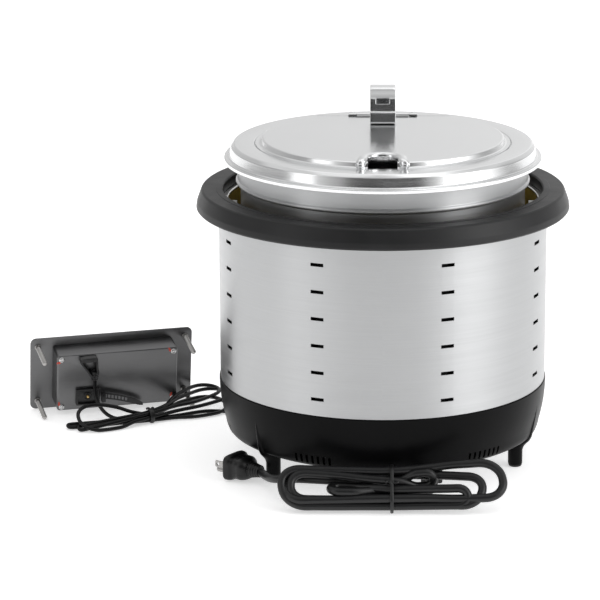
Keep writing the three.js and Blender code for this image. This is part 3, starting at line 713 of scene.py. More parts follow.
def hank_tie(name, at, spots, radius, wire, material, twist):
    """A thin tie round a bundle: spots are the outline of the bundle as (across, depth)."""
    loop = [at((0, *s)) for s in spots]
    line = along([*loop, loop[0]], 1.0)[:-1]
    up = (at((1, 0, 0)) - at((0, 0, 0))).normalized()
    parts = [swept(name, line, circle(wire, 10, stretch=radius), material, KETTLE, up, closed=True)]
    for k, (reach, phase) in enumerate(twist):
        ends = [
            at((
                reach * t + 1.1 * math.cos(9 * t + phase), 19 + 1.2 * math.sin(9 * t + phase),
                18.2 + 0.6 * t,
            ))
            for t in [i / 24 for i in range(25)]
        ]
        parts.append(swept(f"{name}_end_{k}", ends, circle(wire * 0.9, 8), material, KETTLE))
    return joined(name, parts)


def make_mains_tie(material):
    spots = [
        (-3.4, 2), (-3.4, 7), (0, 14.5), (6, 17.6), (19, 18), (33, 17.6), (39, 13), (40, 6),
        (37, 0.6), (26, -0.6), (14, -0.6), (2, -0.8),
    ]
    return hank_tie("mains_tie", mains_at, spots, 1.6, 1.0, material, [(6, 0.0), (-5, 2.2)])


def make_cable_tie(material):
    spots = [
        (0, 0.35), (4.4, 0.9), (6.8, 5), (5.6, 9.6), (2.4, 12.4), (-2.4, 12.4), (-5.6, 9.6),
        (-6.8, 5), (-4.4, 0.9),
    ]
    loop = [thin_at((0, *s)) for s in spots]
    line = along([*loop, loop[0]], 0.8)[:-1]
    up = (thin_at((1, 0, 0)) - thin_at((0, 0, 0))).normalized()
    band = swept("cable_tie_band", line, circle(0.85, 10, stretch=2.6), material, KETTLE, up, closed=True)
    tails = [band]
    for k, (x, y) in enumerate(((4, 2.5), (-3.5, 3))):
        path = along(
            [thin_at((0, 1, 12.6)), thin_at((x * 0.5, 1 + y * 0.3, 14)), thin_at((x, 1 + y, 12.8))],
            0.8,
        )
        tails.append(swept(f"cable_tie_tail_{k}", path, circle(0.75, 8, stretch=1.5), material, KETTLE))
    return joined("cable_tie_piece", tails)


# ------------------------------------------------------------ plug and strain reliefs
def plug_place():
    return KETTLE @ Matrix.Translation(
        (-113 * MM, -104 * MM, 12.5 * MM)
    ) @ Matrix.Rotation(math.radians(143), 4, "Z")


def superellipse(wide, high, power, sides=48):
    points = []
    for i in range(sides):
        a = 2 * math.pi * i / sides
        c, s = math.cos(a), math.sin(a)
        points.append(
            Vector(
                (
                    wide * math.copysign(abs(c) ** (2 / power), c),
                    high * math.copysign(abs(s) ** (2 / power), s),
                )
            )
        )
    return points


def lofted(name, sections, material, place, sharp=40):
    """Closed sections of equal count at stations along x, as (x, outline)."""
    rings = [[(x, p[0], p[1]) for p in outline] for x, outline in sections]
    return from_bmesh(name, skin(rings), place, material, sharp)


def mains_plug(paints):
    place = plug_place()
    grip = []
    for i in range(27):
        x = i * 0.5
        ring = 0.75 if i % 5 in (1, 2) else 0.0
        radius = 5.0 + 3.0 * (x / 13) ** 1.3 + ring * (1 if x < 11.5 else 0)
        grip.append((x, circle(radius, 48)))
    stations = [
        (11.5, 8.2, 7.6), (12.6, 10.6, 9.0), (14.5, 12.4, 10.2), (18, 13.4, 10.9), (22, 12.6, 10.4),
        (25.5, 12.9, 10.7), (28, 15.2, 11.9), (32.6, 16.0, 12.2), (33.6, 15.6, 11.9), (34, 14.8, 11.2),
    ]
    line = along(stations, 0.8)
    head = []
    for p in line:
        power = 2.2 + 2.4 * min(1, max(0, (p.x - 11.5) / 20))
        head.append((p.x, superellipse(p.y, p.z, power)))
    parts = [
        lofted("plug_grip", grip, paints["plug"], place),
        lofted("mains_plug_piece", head, paints["plug"], place),
    ]
    for side in (-1, 1):
        for k in range(4):
            x = 18.2 + k * 2.0
            arc = [-0.7 + 1.4 * i / 12 for i in range(13)]
            path = [Vector((x, 13.1 * math.sin(t), side * 10.75 * abs(math.cos(t)) ** 0.5)) for t in arc]
            parts.append(
                swept(f"rib_{side}_{k}", path, circle(0.55, 8), paints["plug"], place, Vector((1, 0, 0)))
            )
    return joined("mains_plug_piece", parts[::-1])


def slotted_sheet(outlines, low, high, spot):
    """A flat bmesh: the first outline, less the others, from low to high. spot maps (x, y, z)."""
    mesh = bmesh.new()
    faces = {low: [], high: []}
    for ring in outlines:
        bottom, top = ([mesh.verts.new(spot(p[0], p[1], z)) for p in ring] for z in (low, high))
        for i in range(len(ring)):
            j = (i + 1) % len(ring)
            mesh.faces.new((bottom[i], bottom[j], top[j], top[i]))
        for z, verts in ((low, bottom), (high, top)):
            faces[z] += [mesh.edges.get((verts[i - 1], verts[i])) for i in range(len(verts))]
    for edges in faces.values():
        bmesh.ops.triangle_fill(mesh, edges=edges, use_beauty=True)
    return mesh


def plug_blades(paints):
    """Two flat blades with their holes, and the round ground pin."""
    pieces = []
    blade = rounded([(34.1, -3.2, 0), (50, -3.2, 1.4), (50, 3.2, 1.4), (34.1, 3.2, 0)], True, 5)
    hole = circle(1.6, 20, 46.6, 0)
    for name, side in (("left", -6.35), ("right", 6.35)):
        mesh = slotted_sheet((blade, hole), -0.75, 0.75, lambda x, y, z: (x, z, y))
        place = plug_place() @ Matrix.Translation((0, side * MM, 0))
        pieces.append(bevelled(from_bmesh(f"blade_{name}", mesh, place, paints["stud"], 35), 0.25, 2, 50))
    profile = [(0, 34.1), (2.4, 34.1), (2.4, 51.4, 0.4), (1.7, 52.6, 0.8), (0, 53)]
    turn = plug_place() @ Matrix.Translation((0, 0, -7.6 * MM)) @ Matrix.Rotation(math.pi / 2, 4, "Y")
    pieces.append(lathe("ground_pin", profile, paints["stud"], turn, 32, closed=False))
    return pieces


def strain_relief(paints):
    """A ribbed sleeve that tapers forward from a block under the base."""
    sections = []
    for i in range(73):
        x = i * 0.5
        share = x / 36
        radius = 7.4 - 2.5 * share
        groove = 0.9 if (x > 6 and x < 34 and (x % 3.5) < 1.3) else 0.0
        sections.append((x, circle(radius - groove, 40)))
    spot = Matrix.Translation((46 * MM, -112 * MM, 14 * MM))
    forward = KETTLE @ spot @ Matrix.Rotation(-math.pi / 2, 4, "Z")
    sleeve = lofted("relief_sleeve", sections, paints["rubber"], forward, 30)
    outline = rectangle(36, 56, -120, -98, 2.5)
    foot = prism("relief_block", outline, 6.5, 26.6, paints["rubber"], KETTLE, 1.2)
    return joined("mains_relief", [foot, sleeve])


def cable_gland(paints):
    turn = math.radians(-135)
    outward = Vector((math.sin(turn), -math.cos(turn), 0))
    start = KETTLE @ Matrix.Translation(outward * 116 * MM + Vector((0, 0, 15 * MM)))
    place = start @ Matrix.Rotation(math.atan2(outward.y, outward.x), 4, "Z")
    sections = []
    for i in range(49):
        x = i * 0.5
        groove = 0.6 if 8 < x < 22 and (x % 2.8) < 1.1 else 0.0
        sections.append((x, circle(5.4 - 2.4 * x / 24 - groove, 32)))
    sleeve = lofted("gland_sleeve", sections, paints["rubber"], place, 30)
    block_place = KETTLE @ Matrix.Translation(outward * 118 * MM) @ Matrix.Rotation(
        math.atan2(outward.y, outward.x), 4, "Z",
    )
    foot = prism("gland_block", rectangle(-7, 7, -7, 7, 2), 9, 26.6, paints["rubber"], block_place, 1.0)
    return joined("control_gland", [foot, sleeve])


def make_cords(paints):
    mains, mains_length = mains_cord(paints["cord"])
    settle(mains, "kettle_body", "cord_jacket", "mains_cord_exit", "mains_cord_hank", "mains_cord_lead")
    relief = settle(strain_relief(paints), "kettle_body", "rubber", "mains_strain_relief")
    tie = settle(make_mains_tie(paints["strap"]), "kettle_body", "rubber", "cord_tie")
    plug = settle(mains_plug(paints), "kettle_body", "plug_body", "mains_plug")
    pins = plug_blades(paints)
    for piece, node in zip(pins, ("plug_blade_left", "plug_blade_right", "plug_ground_pin")):
        settle(piece, "kettle_body", "stud_steel", node)
    thin, thin_length = control_cable(paints["thin_cord"])
    settle(
        thin, "kettle_body", "cord_jacket", "control_cable_exit", "control_cable_hank",
        "control_cable_rise",
    )
    gland = settle(cable_gland(paints), "kettle_body", "rubber", "control_cable_gland")
    small_tie = settle(make_cable_tie(paints["strap"]), "kettle_body", "rubber", "cable_tie")
    print(f"mains {mains_length:.3f} m, control cable {thin_length:.3f} m")


# ------------------------------------------------------------ housing
SHELL_SLOTS = {"columns": 8, "rows": 6, "first": 95.0, "pitch": 25.4, "wide": 12.7, "high": 3.2}


def outer_shell(paints):
    """The slotted outer sheet: rows of upright slots all the way round."""
    s = SHELL_SLOTS
    radius = 155.0
    half = math.degrees(s["wide"] / 2 / radius)
    corner = math.degrees(0.7 / radius)
    columns, holes = [], []
    for c in range(s["columns"]):
        centre = (c + 0.5) * 45
        start = len(columns)
        inside = [-half, -half + corner, -half * 0.4, half * 0.4, half - corner, half]
        columns += [centre + a for a in inside]
        holes.append((start, start + 5))
        gap = 45 - 2 * half
        columns += [centre + half + gap * k / 24 for k in range(1, 24)]
    rows, cut = [79.3, 79.9, 82], []
    for r in range(s["rows"]):
        z = s["first"] + r * s["pitch"]
        start = len(rows)
        rows += [z - s["high"] / 2, z - s["high"] / 2 + 0.7, z + s["high"] / 2 - 0.7, z + s["high"] / 2]
        cut.append((start, start + 3))
        rows += [z + s["pitch"] * 0.35, z + s["pitch"] * 0.65] if r < s["rows"] - 1 else []
    rows += [235, 251.4, 252.1]

    def point(angle, z):
        a = math.radians(angle)
        return (radius * math.sin(a), -radius * math.cos(a), z)

    def hole(i, j):
        for a, b in holes:
            if a <= i < b:
                for low, high in cut:
                    if low <= j < high:
                        return True
        return False

    mesh = grid_sheet(columns, rows, point, hole, wrap=True)
    sheet = thicken(from_bmesh("outer_shell_piece", mesh, KETTLE, paints["shell"], 30), 1.0, 30)
    return settle(sheet, "kettle_body", "shell_steel", "outer_shell")


def top_ring(paints):
    profile = [
        (150.5, 252.4, 0.4), (156.8, 252.4), (156.8, 243, 0.4), (174.6, 243, 1.3), (176, 244.6, 1.3),
        (175.2, 250, 9), (171.2, 260.8, 2.6), (169.6, 262, 2), (157.4, 262, 0.3), (157, 262.5, 0.4),
        (151.8, 262.5, 1.3), (150.5, 261.2, 1.3),
    ]
    ring = lathe("top_ring_piece", profile, paints["ring"], sides=320, steps=6)
    return settle(ring, "kettle_body", "black_plastic", "top_ring")


def inner_well(paints):
    liner = [
        (112, 70), (147.2, 70, 4), (147.2, 249.4), (146, 249.4), (146, 71.2, 4), (112, 71.2),
    ]
    well = lathe("inner_well_piece", liner, paints["liner"], sides=256, steps=6)
    settle(well, "kettle_body", "well_liner", "inner_well")
    # Painted shade: a near-black sheet wrapped just outside the liner, so the shell's slots show dark instead
    # of the lit liner behind them.
    shade_sheet = lathe(
        "well_shade_sheet_piece", [(147.3, 70.4), (147.9, 70.4), (147.9, 249.2), (147.3, 249.2)],
        paints["painted_shade"],
    )
    settle(shade_sheet, "kettle_body", "dark_steel")
    rim = [
        (147.2, 249.6), (147.2, 250.9, 0.6), (153.2, 250.9, 0.3), (153.2, 252.1, 0.3),
        (146.4, 252.1, 0.9), (145.8, 251.2, 0.4), (145.8, 249.6),
    ]
    edge = lathe("well_rim_piece", rim, paints["rim"], sides=256)
    settle(edge, "kettle_body", "shell_steel")
    hob = [
        (0, 71.5), (117.4, 71.5, 0.5), (118, 72.2, 0.4), (118, 74.8, 0.5), (117.2, 75.5, 0.4), (0, 75.5),
    ]
    plate = lathe("hob_plate_piece", hob, paints["glass"], sides=192, closed=False)
    settle(plate, "kettle_body", "ceramic", "hob_plate")
    for name, degrees in (("right", 90), ("left", -90), ("rear", 180)):
        a = math.radians(degrees)
        place = (
            KETTLE
            @ Matrix.Translation((141.4 * math.sin(a) * MM, -141.4 * math.cos(a) * MM, 242.5 * MM))
            @ Matrix.Rotation(a - math.pi / 2, 4, "Z")
        )
        outline = [(-3.8, -6, 1.4), (3.8, -6, 0.5), (3.8, 6, 0.5), (-3.8, 6, 1.4)]
        pad = prism(f"well_pad_{name}_piece", outline, -4.5, 4.5, paints["pad"], place, 0.7, 3)
        settle(pad, "kettle_body", "white_pad", f"well_pad_{name}")


LEGS = {"front_left": -49.5, "front_right": 70.5, "rear": 190.5}
VENT_CENTRES = [-25.4, 39.3, 94.6, 159.3, 214.6, 279.3]
BASE_LINE = [
    (155.2, 79), (155.9, 78.2), (155.9, 76), (155.7, 70), (155.4, 66), (154.7, 59), (153.4, 51),
    (151.6, 43), (150.5, 38.6),
    (149.9, 35.4), (149.2, 33.0), (148.2, 30.5), (147.0, 29.0), (145.2, 27.8), (143.4, 27.0),
    (142.2, 26.8), (139.6, 26.8),
]


def base_housing(paints):
    """Moulded base with its vent slots, three legs and their foot pads."""
    pitch, wide, count = 5.6, 2.3, 7
    radius = 146.0
    half = math.degrees(wide / 2 / radius)
    edges = []
    for centre in VENT_CENTRES:
        for i in range(count):
            middle = centre + (i - (count - 1) / 2) * math.degrees(pitch / radius)
            edges.append(middle % 360)
    edges.sort()
    columns, open_columns = [], set()
    for k, middle in enumerate(edges):
        following = edges[k + 1] if k < len(edges) - 1 else edges[0] + 360
        open_columns.add(len(columns))
        columns.append(middle - half)
        start, stop = middle + half, following - half
        fill = max(1, round((stop - start) / 1.6))
        columns += [start + (stop - start) * i / fill for i in range(fill)]

    line = [Vector(p) for p in BASE_LINE]
    low, high = 30.5, 38.6

    def point(angle, p):
        a = math.radians(angle)
        return (p[0] * math.sin(a), -p[0] * math.cos(a), p[1])

    def hole(i, j):
        top, bottom = line[j].y, line[j + 1].y
        return i in open_columns and top <= high + 0.01 and bottom >= low - 0.01

    mesh = grid_sheet(columns, line, point, hole, wrap=True)
    body = thicken(from_bmesh("base_housing_piece", mesh, KETTLE, paints["base"], 40), 2.6, 40)
    parts = [body]
    for name, degrees in LEGS.items():
        parts.append(leg(name, degrees, paints))
    joined_body = joined("base_housing_piece", parts, sharp=40)
    settle(joined_body, "kettle_body", "black_plastic", "base_housing")
    for name, degrees in LEGS.items():
        a = math.radians(degrees)
        place = KETTLE @ Matrix.Translation((134 * math.sin(a) * MM, -134 * math.cos(a) * MM, 0))
        profile = [(0, 0.9), (3.4, 0.9, 0.3), (4.2, 0), (5.6, 0, 0.6), (6.3, 0.9, 0.5), (6.4, 2), (0, 2)]
        pad = lathe(f"foot_pad_{name}_piece", profile, paints["rubber"], place, 48, closed=False)
        settle(pad, "kettle_body", "rubber", f"foot_pad_{name}")


def hull_outline(a, ra, b, rb, sides=64):
    """The outline round two circles, as the furthest point in each direction."""
    points = []
    for i in range(sides):
        t = 2 * math.pi * i / sides
        d = Vector((math.cos(t), math.sin(t)))
        one, two = a + d * ra, b + d * rb
        points.append(one if one.dot(d) >= two.dot(d) else two)
    return points


def leg(name, degrees, paints):
    """A round leg whose web leans outwards and fades into the base's wall."""
    a = math.radians(degrees)
    place = KETTLE @ Matrix.Rotation(a - math.pi / 2, 4, "Z")
    levels = [
        (2.3, 134, 6.5, 134, 6.5), (3.2, 134, 6.9, 134, 6.9), (16, 134, 6.9, 134, 6.9),
        (20, 134, 6.9, 135.4, 6.85),
        (23, 134, 6.9, 138, 6.8), (26, 134, 6.9, 141.2, 6.6), (30, 134, 6.9, 143.6, 6.3),
        (36, 134, 6.9, 145.8, 5.5),
        (42, 134, 6.9, 147.8, 4.6), (48, 134, 6.9, 149.7, 3.7), (54, 134, 6.9, 151.5, 2.8),
        (60, 134, 6.9, 153.1, 1.8),
        (65, 134, 6.9, 154.3, 0.9),
    ]
    rings = []
    for z, inner, inner_radius, outer, outer_radius in levels:
        outline = hull_outline(Vector((inner, 0)), inner_radius, Vector((outer, 0)), outer_radius)
        rings.append([(p.x, p.y, z) for p in outline])
    return from_bmesh(f"leg_{name}", skin(rings), place, paints["base"], 40)


# ------------------------------------------------------------ inset and lid
def soup_inset(paints):
    low = 75.8
    profile = [
        (0, low), (117.6, low, 3), (129.3, low + 4.4, 8), (134, low + 16, 10), (134, 266.6, 1),
        (138.4, 268.4, 1.2),
        (138.4, 270.4, 1.2), (137, 272.2, 1), (137, 288.2, 1.4), (139.2, 289.6, 0.8), (147, 289.6, 0.5),
        (147, 290.8, 0.5),
        (138.6, 290.8, 1.2), (135.8, 289, 1), (135.8, 272.6, 1), (132.8, 267.2, 1), (132.8, low + 16.4, 9),
        (128.6, low + 5.7, 7), (117.6, low + 1.2, 2), (0, low + 1.2),
    ]
    inset = lathe("soup_inset_piece", profile, paints["inset"], sides=320, closed=False, steps=5)
    return settle(inset, "inset", "polished_steel", "soup_inset")


HINGE = {"y": 92.0, "z": 311.0, "radius": 1.8, "flap_half": 25.2, "half": 33.0}


def barrel(name, x0, x1, radius, material, bore=1.15, sides=40):
    """A hinge knuckle along X with its bore and eased ends."""
    profile = [
        (bore, x0 + 0.2), (radius - 0.25, x0, 0.2), (radius, x0 + 0.25), (radius, x1 - 0.25),
        (radius - 0.25, x1, 0.2), (bore, x1 - 0.2),
    ]
    place = KETTLE @ Matrix.Translation(
        (0, HINGE["y"] * MM, HINGE["z"] * MM)
    ) @ Matrix.Rotation(math.pi / 2, 4, "Y")
    return lathe(name, profile, material, place, sides)


def clipped(mesh, y, keep_above):
    """Cuts a bmesh at a plane across Y and keeps one side."""
    geometry = mesh.verts[:] + mesh.edges[:] + mesh.faces[:]
    bmesh.ops.bisect_plane(
        mesh, geom=geometry, plane_co=(0, y, 0), plane_no=(0, 1, 0), clear_inner=keep_above,
        clear_outer=not keep_above
    )
    return mesh


def lid_ring(paints):
    profile = [
        (111.5, 302.9, 0.3), (121.2, 302.9), (121.2, 304.1), (138.2, 304.1, 2.2), (141.4, 301.6, 1.5),
        (141.8, 293.6, 1),
        (144.4, 291.6, 0.8), (148.2, 291.3, 0.4), (148.2, 288.8, 0.3), (149.4, 288.8, 0.4), (149.4, 292, 0.8),
        (148.6, 292.8, 0.6), (144.6, 293, 1.6), (142.9, 302.2, 2.2), (139.8, 305.2, 2.4),
        (121.0, 305.2, 0.7), (120.2, 303.9, 0.2),
        (111.5, 303.9, 0.3),
    ]
    ring = lathe("lid_ring_piece", profile, paints["lid"], sides=320, steps=6)
    rear = rounded(
        [
            (0, 310.2), (112.6, 310.2, 1.6), (113.8, 309.4, 1), (115.4, 305.6, 1), (117, 305.2, 1),
            (121.4, 305.25),
        ],
        False, 5,
    )
    mesh = clipped(lathe_mesh(rear, 320, False), HINGE["y"] + 0.35, True)
    deck = from_bmesh("rear_deck", mesh, KETTLE, paints["lid"], 40)
    deck = thicken(deck, 1.0, 40)
    pocket = prism_mesh(
        rectangle(-HINGE["half"] - 0.5, HINGE["half"] + 0.5, HINGE["y"] - 4, HINGE["y"] + 2.7), 290,
        330,
    )
    deck = carved(deck, pocket)
    parts = [ring, deck]
    for side in (-1, 1):
        ends = sorted((side * (HINGE["flap_half"] + 0.4), side * HINGE["half"]))
        parts.append(barrel(f"lid_knuckle_{side}", *ends, HINGE["radius"], paints["lid"]))
        leaf = rectangle(ends[0], ends[1], HINGE["y"] + 1.6, HINGE["y"] + 16, 1.5)
        parts.append(prism(f"lid_leaf_{side}", leaf, 310.2, 311.2, paints["lid"], KETTLE, 0.3))
        spot = Matrix.Translation(((ends[0] + 3.7) * MM, (HINGE["y"] + 11) * MM, 0))
        head = [(0, 310.9), (1.7, 310.9), (1.7, 311.3, 0.2), (1.1, 312, 0.5), (0, 312.15)]
        parts.append(lathe(f"lid_rivet_{side}", head, paints["lid"], KETTLE @ spot, 24, closed=False))
    settle(joined("lid_ring_piece", parts, sharp=38), "lid", "polished_steel", "lid_ring")
    pin = [
        (0, -HINGE["half"] - 0.2), (0.8, -HINGE["half"] - 0.2, 0.2), (1, -HINGE["half"] + 0.2),
        (1, HINGE["half"] - 0.2), (0.8, HINGE["half"] + 0.2, 0.2), (0, HINGE["half"] + 0.2),
    ]
    place = KETTLE @ Matrix.Translation(
        (0, HINGE["y"] * MM, HINGE["z"] * MM)
    ) @ Matrix.Rotation(math.pi / 2, 4, "Y")
    settle(
        lathe("hinge_pin_piece", pin, paints["dark"], place, 32, closed=False), "lid", "dark_steel",
        "hinge_pin",
    )


def carved(obj, mesh, sharp=40):
    """Cuts a bmesh drawn in millimetres out of an object."""
    cutter = from_bmesh("cutter", mesh, KETTLE, obj.data.materials[0])
    cut = obj.modifiers.new("carve", "BOOLEAN")
    cut.operation = "DIFFERENCE"
    cut.solver = "EXACT"
    cut.object = cutter
    obj = applied(obj, sharp)
    bpy.data.objects.remove(cutter)
    return obj


def notch_outline(radius, reach, steps=24):
    """The ladle notch: a half circle that runs out to the lid's front edge."""
    arc = [
        Vector(
            (radius * math.cos(math.pi * i / steps), -106 + radius * math.sin(math.pi * i / steps))
        ) for i in range(steps + 1)
    ]
    return [Vector((radius, reach)), *arc, Vector((-radius, reach))]


def lid_flap(paints):
    line = rounded(
        [
            (0, 310.2), (112.4, 310.2, 1.8), (113.6, 309.6, 1.2), (115.0, 305.7, 1),
            (116.4, 305.2, 1), (119.7, 305.2),
        ], False, 5
    )
    mesh = clipped(lathe_mesh(line, 320, False), HINGE["y"] - 0.35, False)
    disc = from_bmesh("lid_flap_piece", mesh, KETTLE, paints["lid"], 40)
    disc = thicken(disc, 1.0, 40)
    disc = carved(disc, prism_mesh(notch_outline(13.5, -140), 290, 330))
    disc = carved(disc, prism_mesh(rectangle(-33.5, 33.5, HINGE["y"] - 2.6, HINGE["y"] + 4), 290, 330))
    inner = [
        Vector(
            (18.0 * math.cos(math.pi * i / 24), -106 + 18.0 * math.sin(math.pi * i / 24), 310.0)
        ) for i in range(25)
    ]
    foot = [(18.6, -110.2, 309.6), (20.6, -112.8, 308.6), (24.4, -113.6, 307.6)]
    path = along([*foot[::-1], *inner, *[(-x, y, z) for x, y, z in foot]], 1.2)

    def taper(share):
        edge = min(share, 1 - share) / 0.05
        return 1 if edge >= 1 else math.sqrt(max(0.02, 1 - (1 - edge) ** 2))

    bead = swept("notch_bead", path, superellipse(4.5, 4.5, 2.6, 32), paints["lid"], KETTLE, scale=taper)
    wall = [
        Vector(
            (13.9 * math.cos(math.pi * i / 24), -106 + 13.9 * math.sin(math.pi * i / 24), 307.4)
        ) for i in range(25)
    ]
    skirt = swept("notch_wall", wall, superellipse(0.5, 2.9, 3, 16), paints["lid"], KETTLE)
    parts = [disc, bead, skirt]
    ends = (-HINGE["flap_half"], HINGE["flap_half"])
    parts.append(barrel("flap_knuckle", *ends, HINGE["radius"], paints["lid"]))
    leaf = rectangle(-25.2, 25.2, HINGE["y"] - 5.2, HINGE["y"] - 1.6, 0.4)
    parts.append(prism("flap_leaf", leaf, 310.2, 311.2, paints["lid"], KETTLE, 0.3))
    settle(joined("lid_flap_piece", parts, sharp=38), "flap", "polished_steel", "lid_flap")


def lid_handle(paints):
    """A bent strap with rounded edges and a slot in its front."""
    corners = [
        (62, 1.3), (49.9, 1.3, 2.4), (49.5, 12, 30), (51.0, 21.5, 16), (57.6, 33.9, 5), (66, 34.4, 30),
        (77.6, 33.2, 8), (84.2, 27.5, 7), (84.6, 1.3, 2.4), (73, 1.3),
    ]
    line = rounded(corners, False, 8)
    dense = [line[0]]
    for a, b in zip(line, line[1:]):
        pieces = max(1, round((b - a).length / 2.5))
        dense += [a.lerp(b, k / pieces) for k in range(1, pieces + 1)]
    low, high = 22.6 - 2.35, 22.6 + 2.35
    front = [i for i, p in enumerate(dense) if p.x < 60 and p.y > 4]
    near = lambda z: min(front, key=lambda i: abs(dense[i].y - z))
    first, last = near(low), near(high)
    dense[first] = Vector((dense[first].x, low))
    dense[last] = Vector((dense[last].x, high))
    across = [-12.25, -9.3, -6.45, -5.6, -2.8, 0, 2.8, 5.6, 6.45, 9.3, 12.25]

    def hole(i, j):
        return -6.46 < across[i] and across[i + 1] < 6.46 and first <= j < last

    mesh = grid_sheet(across, dense, lambda x, p: (x, p.x, 310.2 + p.y), hole)
    sheet = from_bmesh("lid_handle_piece", mesh, KETTLE, paints["handle"], 40)
    modifier = sheet.modifiers.new("thick", "SOLIDIFY")
    modifier.thickness = 2 * MM
    modifier.offset = 0
    modifier.use_even_offset = True
    strap = applied(sheet, 40)
    strap = bevelled(strap, 0.55, 3, 60, 40)
    settle(strap, "flap", "polished_steel", "lid_handle")


# ------------------------------------------------------------ remote panel
PLATE = {"wide": 165.8, "high": 77.9}
BOX = {"x0": 22.3, "x1": 145.1, "z0": 8.4, "z1": 69.4, "face": 26.2}


def plane_prism(name, outline, low, high, material, bevel=0.0, segments=2, steps=6):
    return prism(name, outline, low, high, material, PANEL_FACE, bevel, segments, steps)


def control_box(paints):
    """A folded cover: eased bends, open towards the plate."""
    def line(inset, radius):
        edges = rectangle(
            BOX["x0"] + inset, BOX["x1"] - inset, BOX["z0"] + inset, BOX["z1"] - inset, radius,
        )
        return rounded(edges, True, 6)

    wall, bend, straight = 1.2, 1.5, 24.4
    levels = [
        (line(wall, 1.8), straight + 0.3), (line(wall, 1.8), 0.3), (line(0, 3), 0.3),
        (line(0, 3), straight),
    ]
    for k in range(1, 6):
        t = math.pi / 2 * k / 5
        inset = bend * (1 - math.cos(t))
        levels.append((line(inset, max(0.6, 3 - inset)), straight + bend * math.sin(t)))
    mesh = skin([[(p[0], p[1], z) for p in ring] for ring, z in levels])
    box = from_bmesh("control_box_piece", mesh, PANEL_FACE, paints["box"], 50)
    settle(box, "kettle_body", "panel_steel", "control_box")


def screw(name, x, z, paints, turn):
    """A pan-head screw with a cross recess and a paint mark across its edge."""
    place = PANEL_FACE @ Matrix.Translation((x * MM, z * MM, 26.1 * MM)) @ Matrix.Rotation(turn, 4, "Z")
    steps = 32
    dome = [
        (0.001, 1.6), (0.5, 1.6), (1.0, 1.57), (1.5, 1.48), (2.0, 1.3), (2.5, 0.95), (2.8, 0.55),
        (2.9, 0.3), (2.9, 0.05),
    ]
    rings = []
    for radius, height in dome:
        spots = circle(radius, steps)
        recess = [min(abs(p.x), abs(p.y)) < 0.42 and max(abs(p.x), abs(p.y)) < 1.75 for p in spots]
        rings.append([(p.x, p.y, height - 0.75 * deep) for p, deep in zip(spots, recess)])
    head = from_bmesh(name, skin(rings), place, paints["zinc"], 30)
    marks = []
    for k, (mx, my, size) in enumerate(((3.3, 0.5, 1.6), (5.2, -0.7, 1.1))):
        outline = [
            Vector(
                (mx + size * (1 + 0.35 * math.sin(3 * a + k)) * math.cos(a), my + 0.75 * size * math.sin(a))
            )
            for a in [2 * math.pi * i / 18 for i in range(18)]
        ]
        mark = from_bmesh(
            f"{name}_mark_{k}", prism_mesh(outline, -0.1, 0.16), place, paints["paint_mark"], 40,
        )
        marks.append(mark)
    return joined(name, [head, *marks], sharp=30)


def stud(name, x, z, paints):
    """A threaded stud: a fine helical thread over most of its length, plain at its root."""
    place = PANEL_FACE @ Matrix.Translation((x * MM, z * MM, 0))
    length, start = 40.0, 5.0
    pitch, root, crest, sides = 0.8, 2.1, 2.5, 20
    turns = (length - 1 - start) / pitch

    def ring(height, radius):
        spots = [2 * math.pi * k / sides for k in range(sides)]
        return [(radius(k) * math.cos(t), radius(k) * math.sin(t), height) for k, t in enumerate(spots)]

    def thread(quarter):
        return lambda k: root + (crest - root) * (1 - abs(2 * ((quarter / 4 - k / sides) % 1) - 1))

    foot = [(0.3, 0.001), (0.3, 3.1), (1.1, 3.1), (1.4, crest), (start - 0.6, crest)]
    tip = [(length - 0.5, root), (length, 1.6), (length, 0.001)]
    rings = [ring(height, lambda k, r=radius: r) for height, radius in foot]
    rings += [ring(start + pitch * quarter / 4, thread(quarter)) for quarter in range(int(turns * 4) + 1)]
    rings += [ring(height, lambda k, r=radius: r) for height, radius in tip]
    return from_bmesh(name, skin(rings), place, paints["stud"], 50)


def panel_plate(paints):
    plate = plane_prism(
        "panel_plate_piece", rectangle(0, PLATE["wide"], 0, PLATE["high"], 6), -1.5, 0,
        paints["plate"], 0.35, 2, 10,
    )
    settle(plate, "kettle_body", "panel_steel", "panel_plate")
    board = [
        plane_prism(
            "control_board_piece", rectangle(30.3, 137.1, 14.4, 63.4, 1), 8, 9.6, paints["circuit"],
            0.2,
        )
    ]
    for k, (x, z, wide, high, tall) in enumerate(
        ((40, 30, 14, 10, 4), (64, 44, 20, 12, 6), (96, 24, 10, 18, 5), (118, 46, 16, 12, 8))
    ):
        board.append(
            plane_prism(
                f"chip_{k}", rectangle(x, x + wide, z, z + high, 1), 9.6, 9.6 + tall,
                paints["strap"], 0.4,
            )
        )
    settle(joined("control_board_piece", board), "kettle_body", "circuit_board", "control_board")
    near = 4.5
    left, right, low, high = BOX["x0"] + near, BOX["x1"] - near, BOX["z0"] + near, BOX["z1"] - near
    spots = [(left, low, 2.2), (right, low, 1.9), (left, high, 3.9), (right, high, 2.6)]
    for number, (x, z, turn) in enumerate(spots, 1):
        settle(
            screw(f"box_screw_{number}_piece", x, z, paints, turn), "kettle_body", "aluminium",
            f"box_screw_{number}",
        )
    studs = [(7.3, 9.2), (158.5, 9.2), (7.3, 68.7), (158.5, 68.7)]
    for number, (x, z) in enumerate(studs, 1):
        settle(
            stud(f"mount_stud_{number}_piece", x, z, paints), "kettle_body", "stud_steel",
            f"mount_stud_{number}",
        )


def framed(name, outline, width, low, high, material, place=PANEL_FACE, bevel=0.3):
    """A frame of constant width inside a convex outline."""
    outer = rounded(outline, True, 5)
    middle = sum(outer, Vector((0, 0))) / len(outer)
    inner = [middle + (p - middle) * (1 - width / (p - middle).length) for p in outer]
    loops = ((outer, low), (outer, high), (inner, high), (inner, low))
    mesh = skin([[(p[0], p[1], z) for p in ring] for ring, z in loops], closed=True)
    return bevelled(from_bmesh(name, mesh, place, material, 35), bevel, 2, 50)


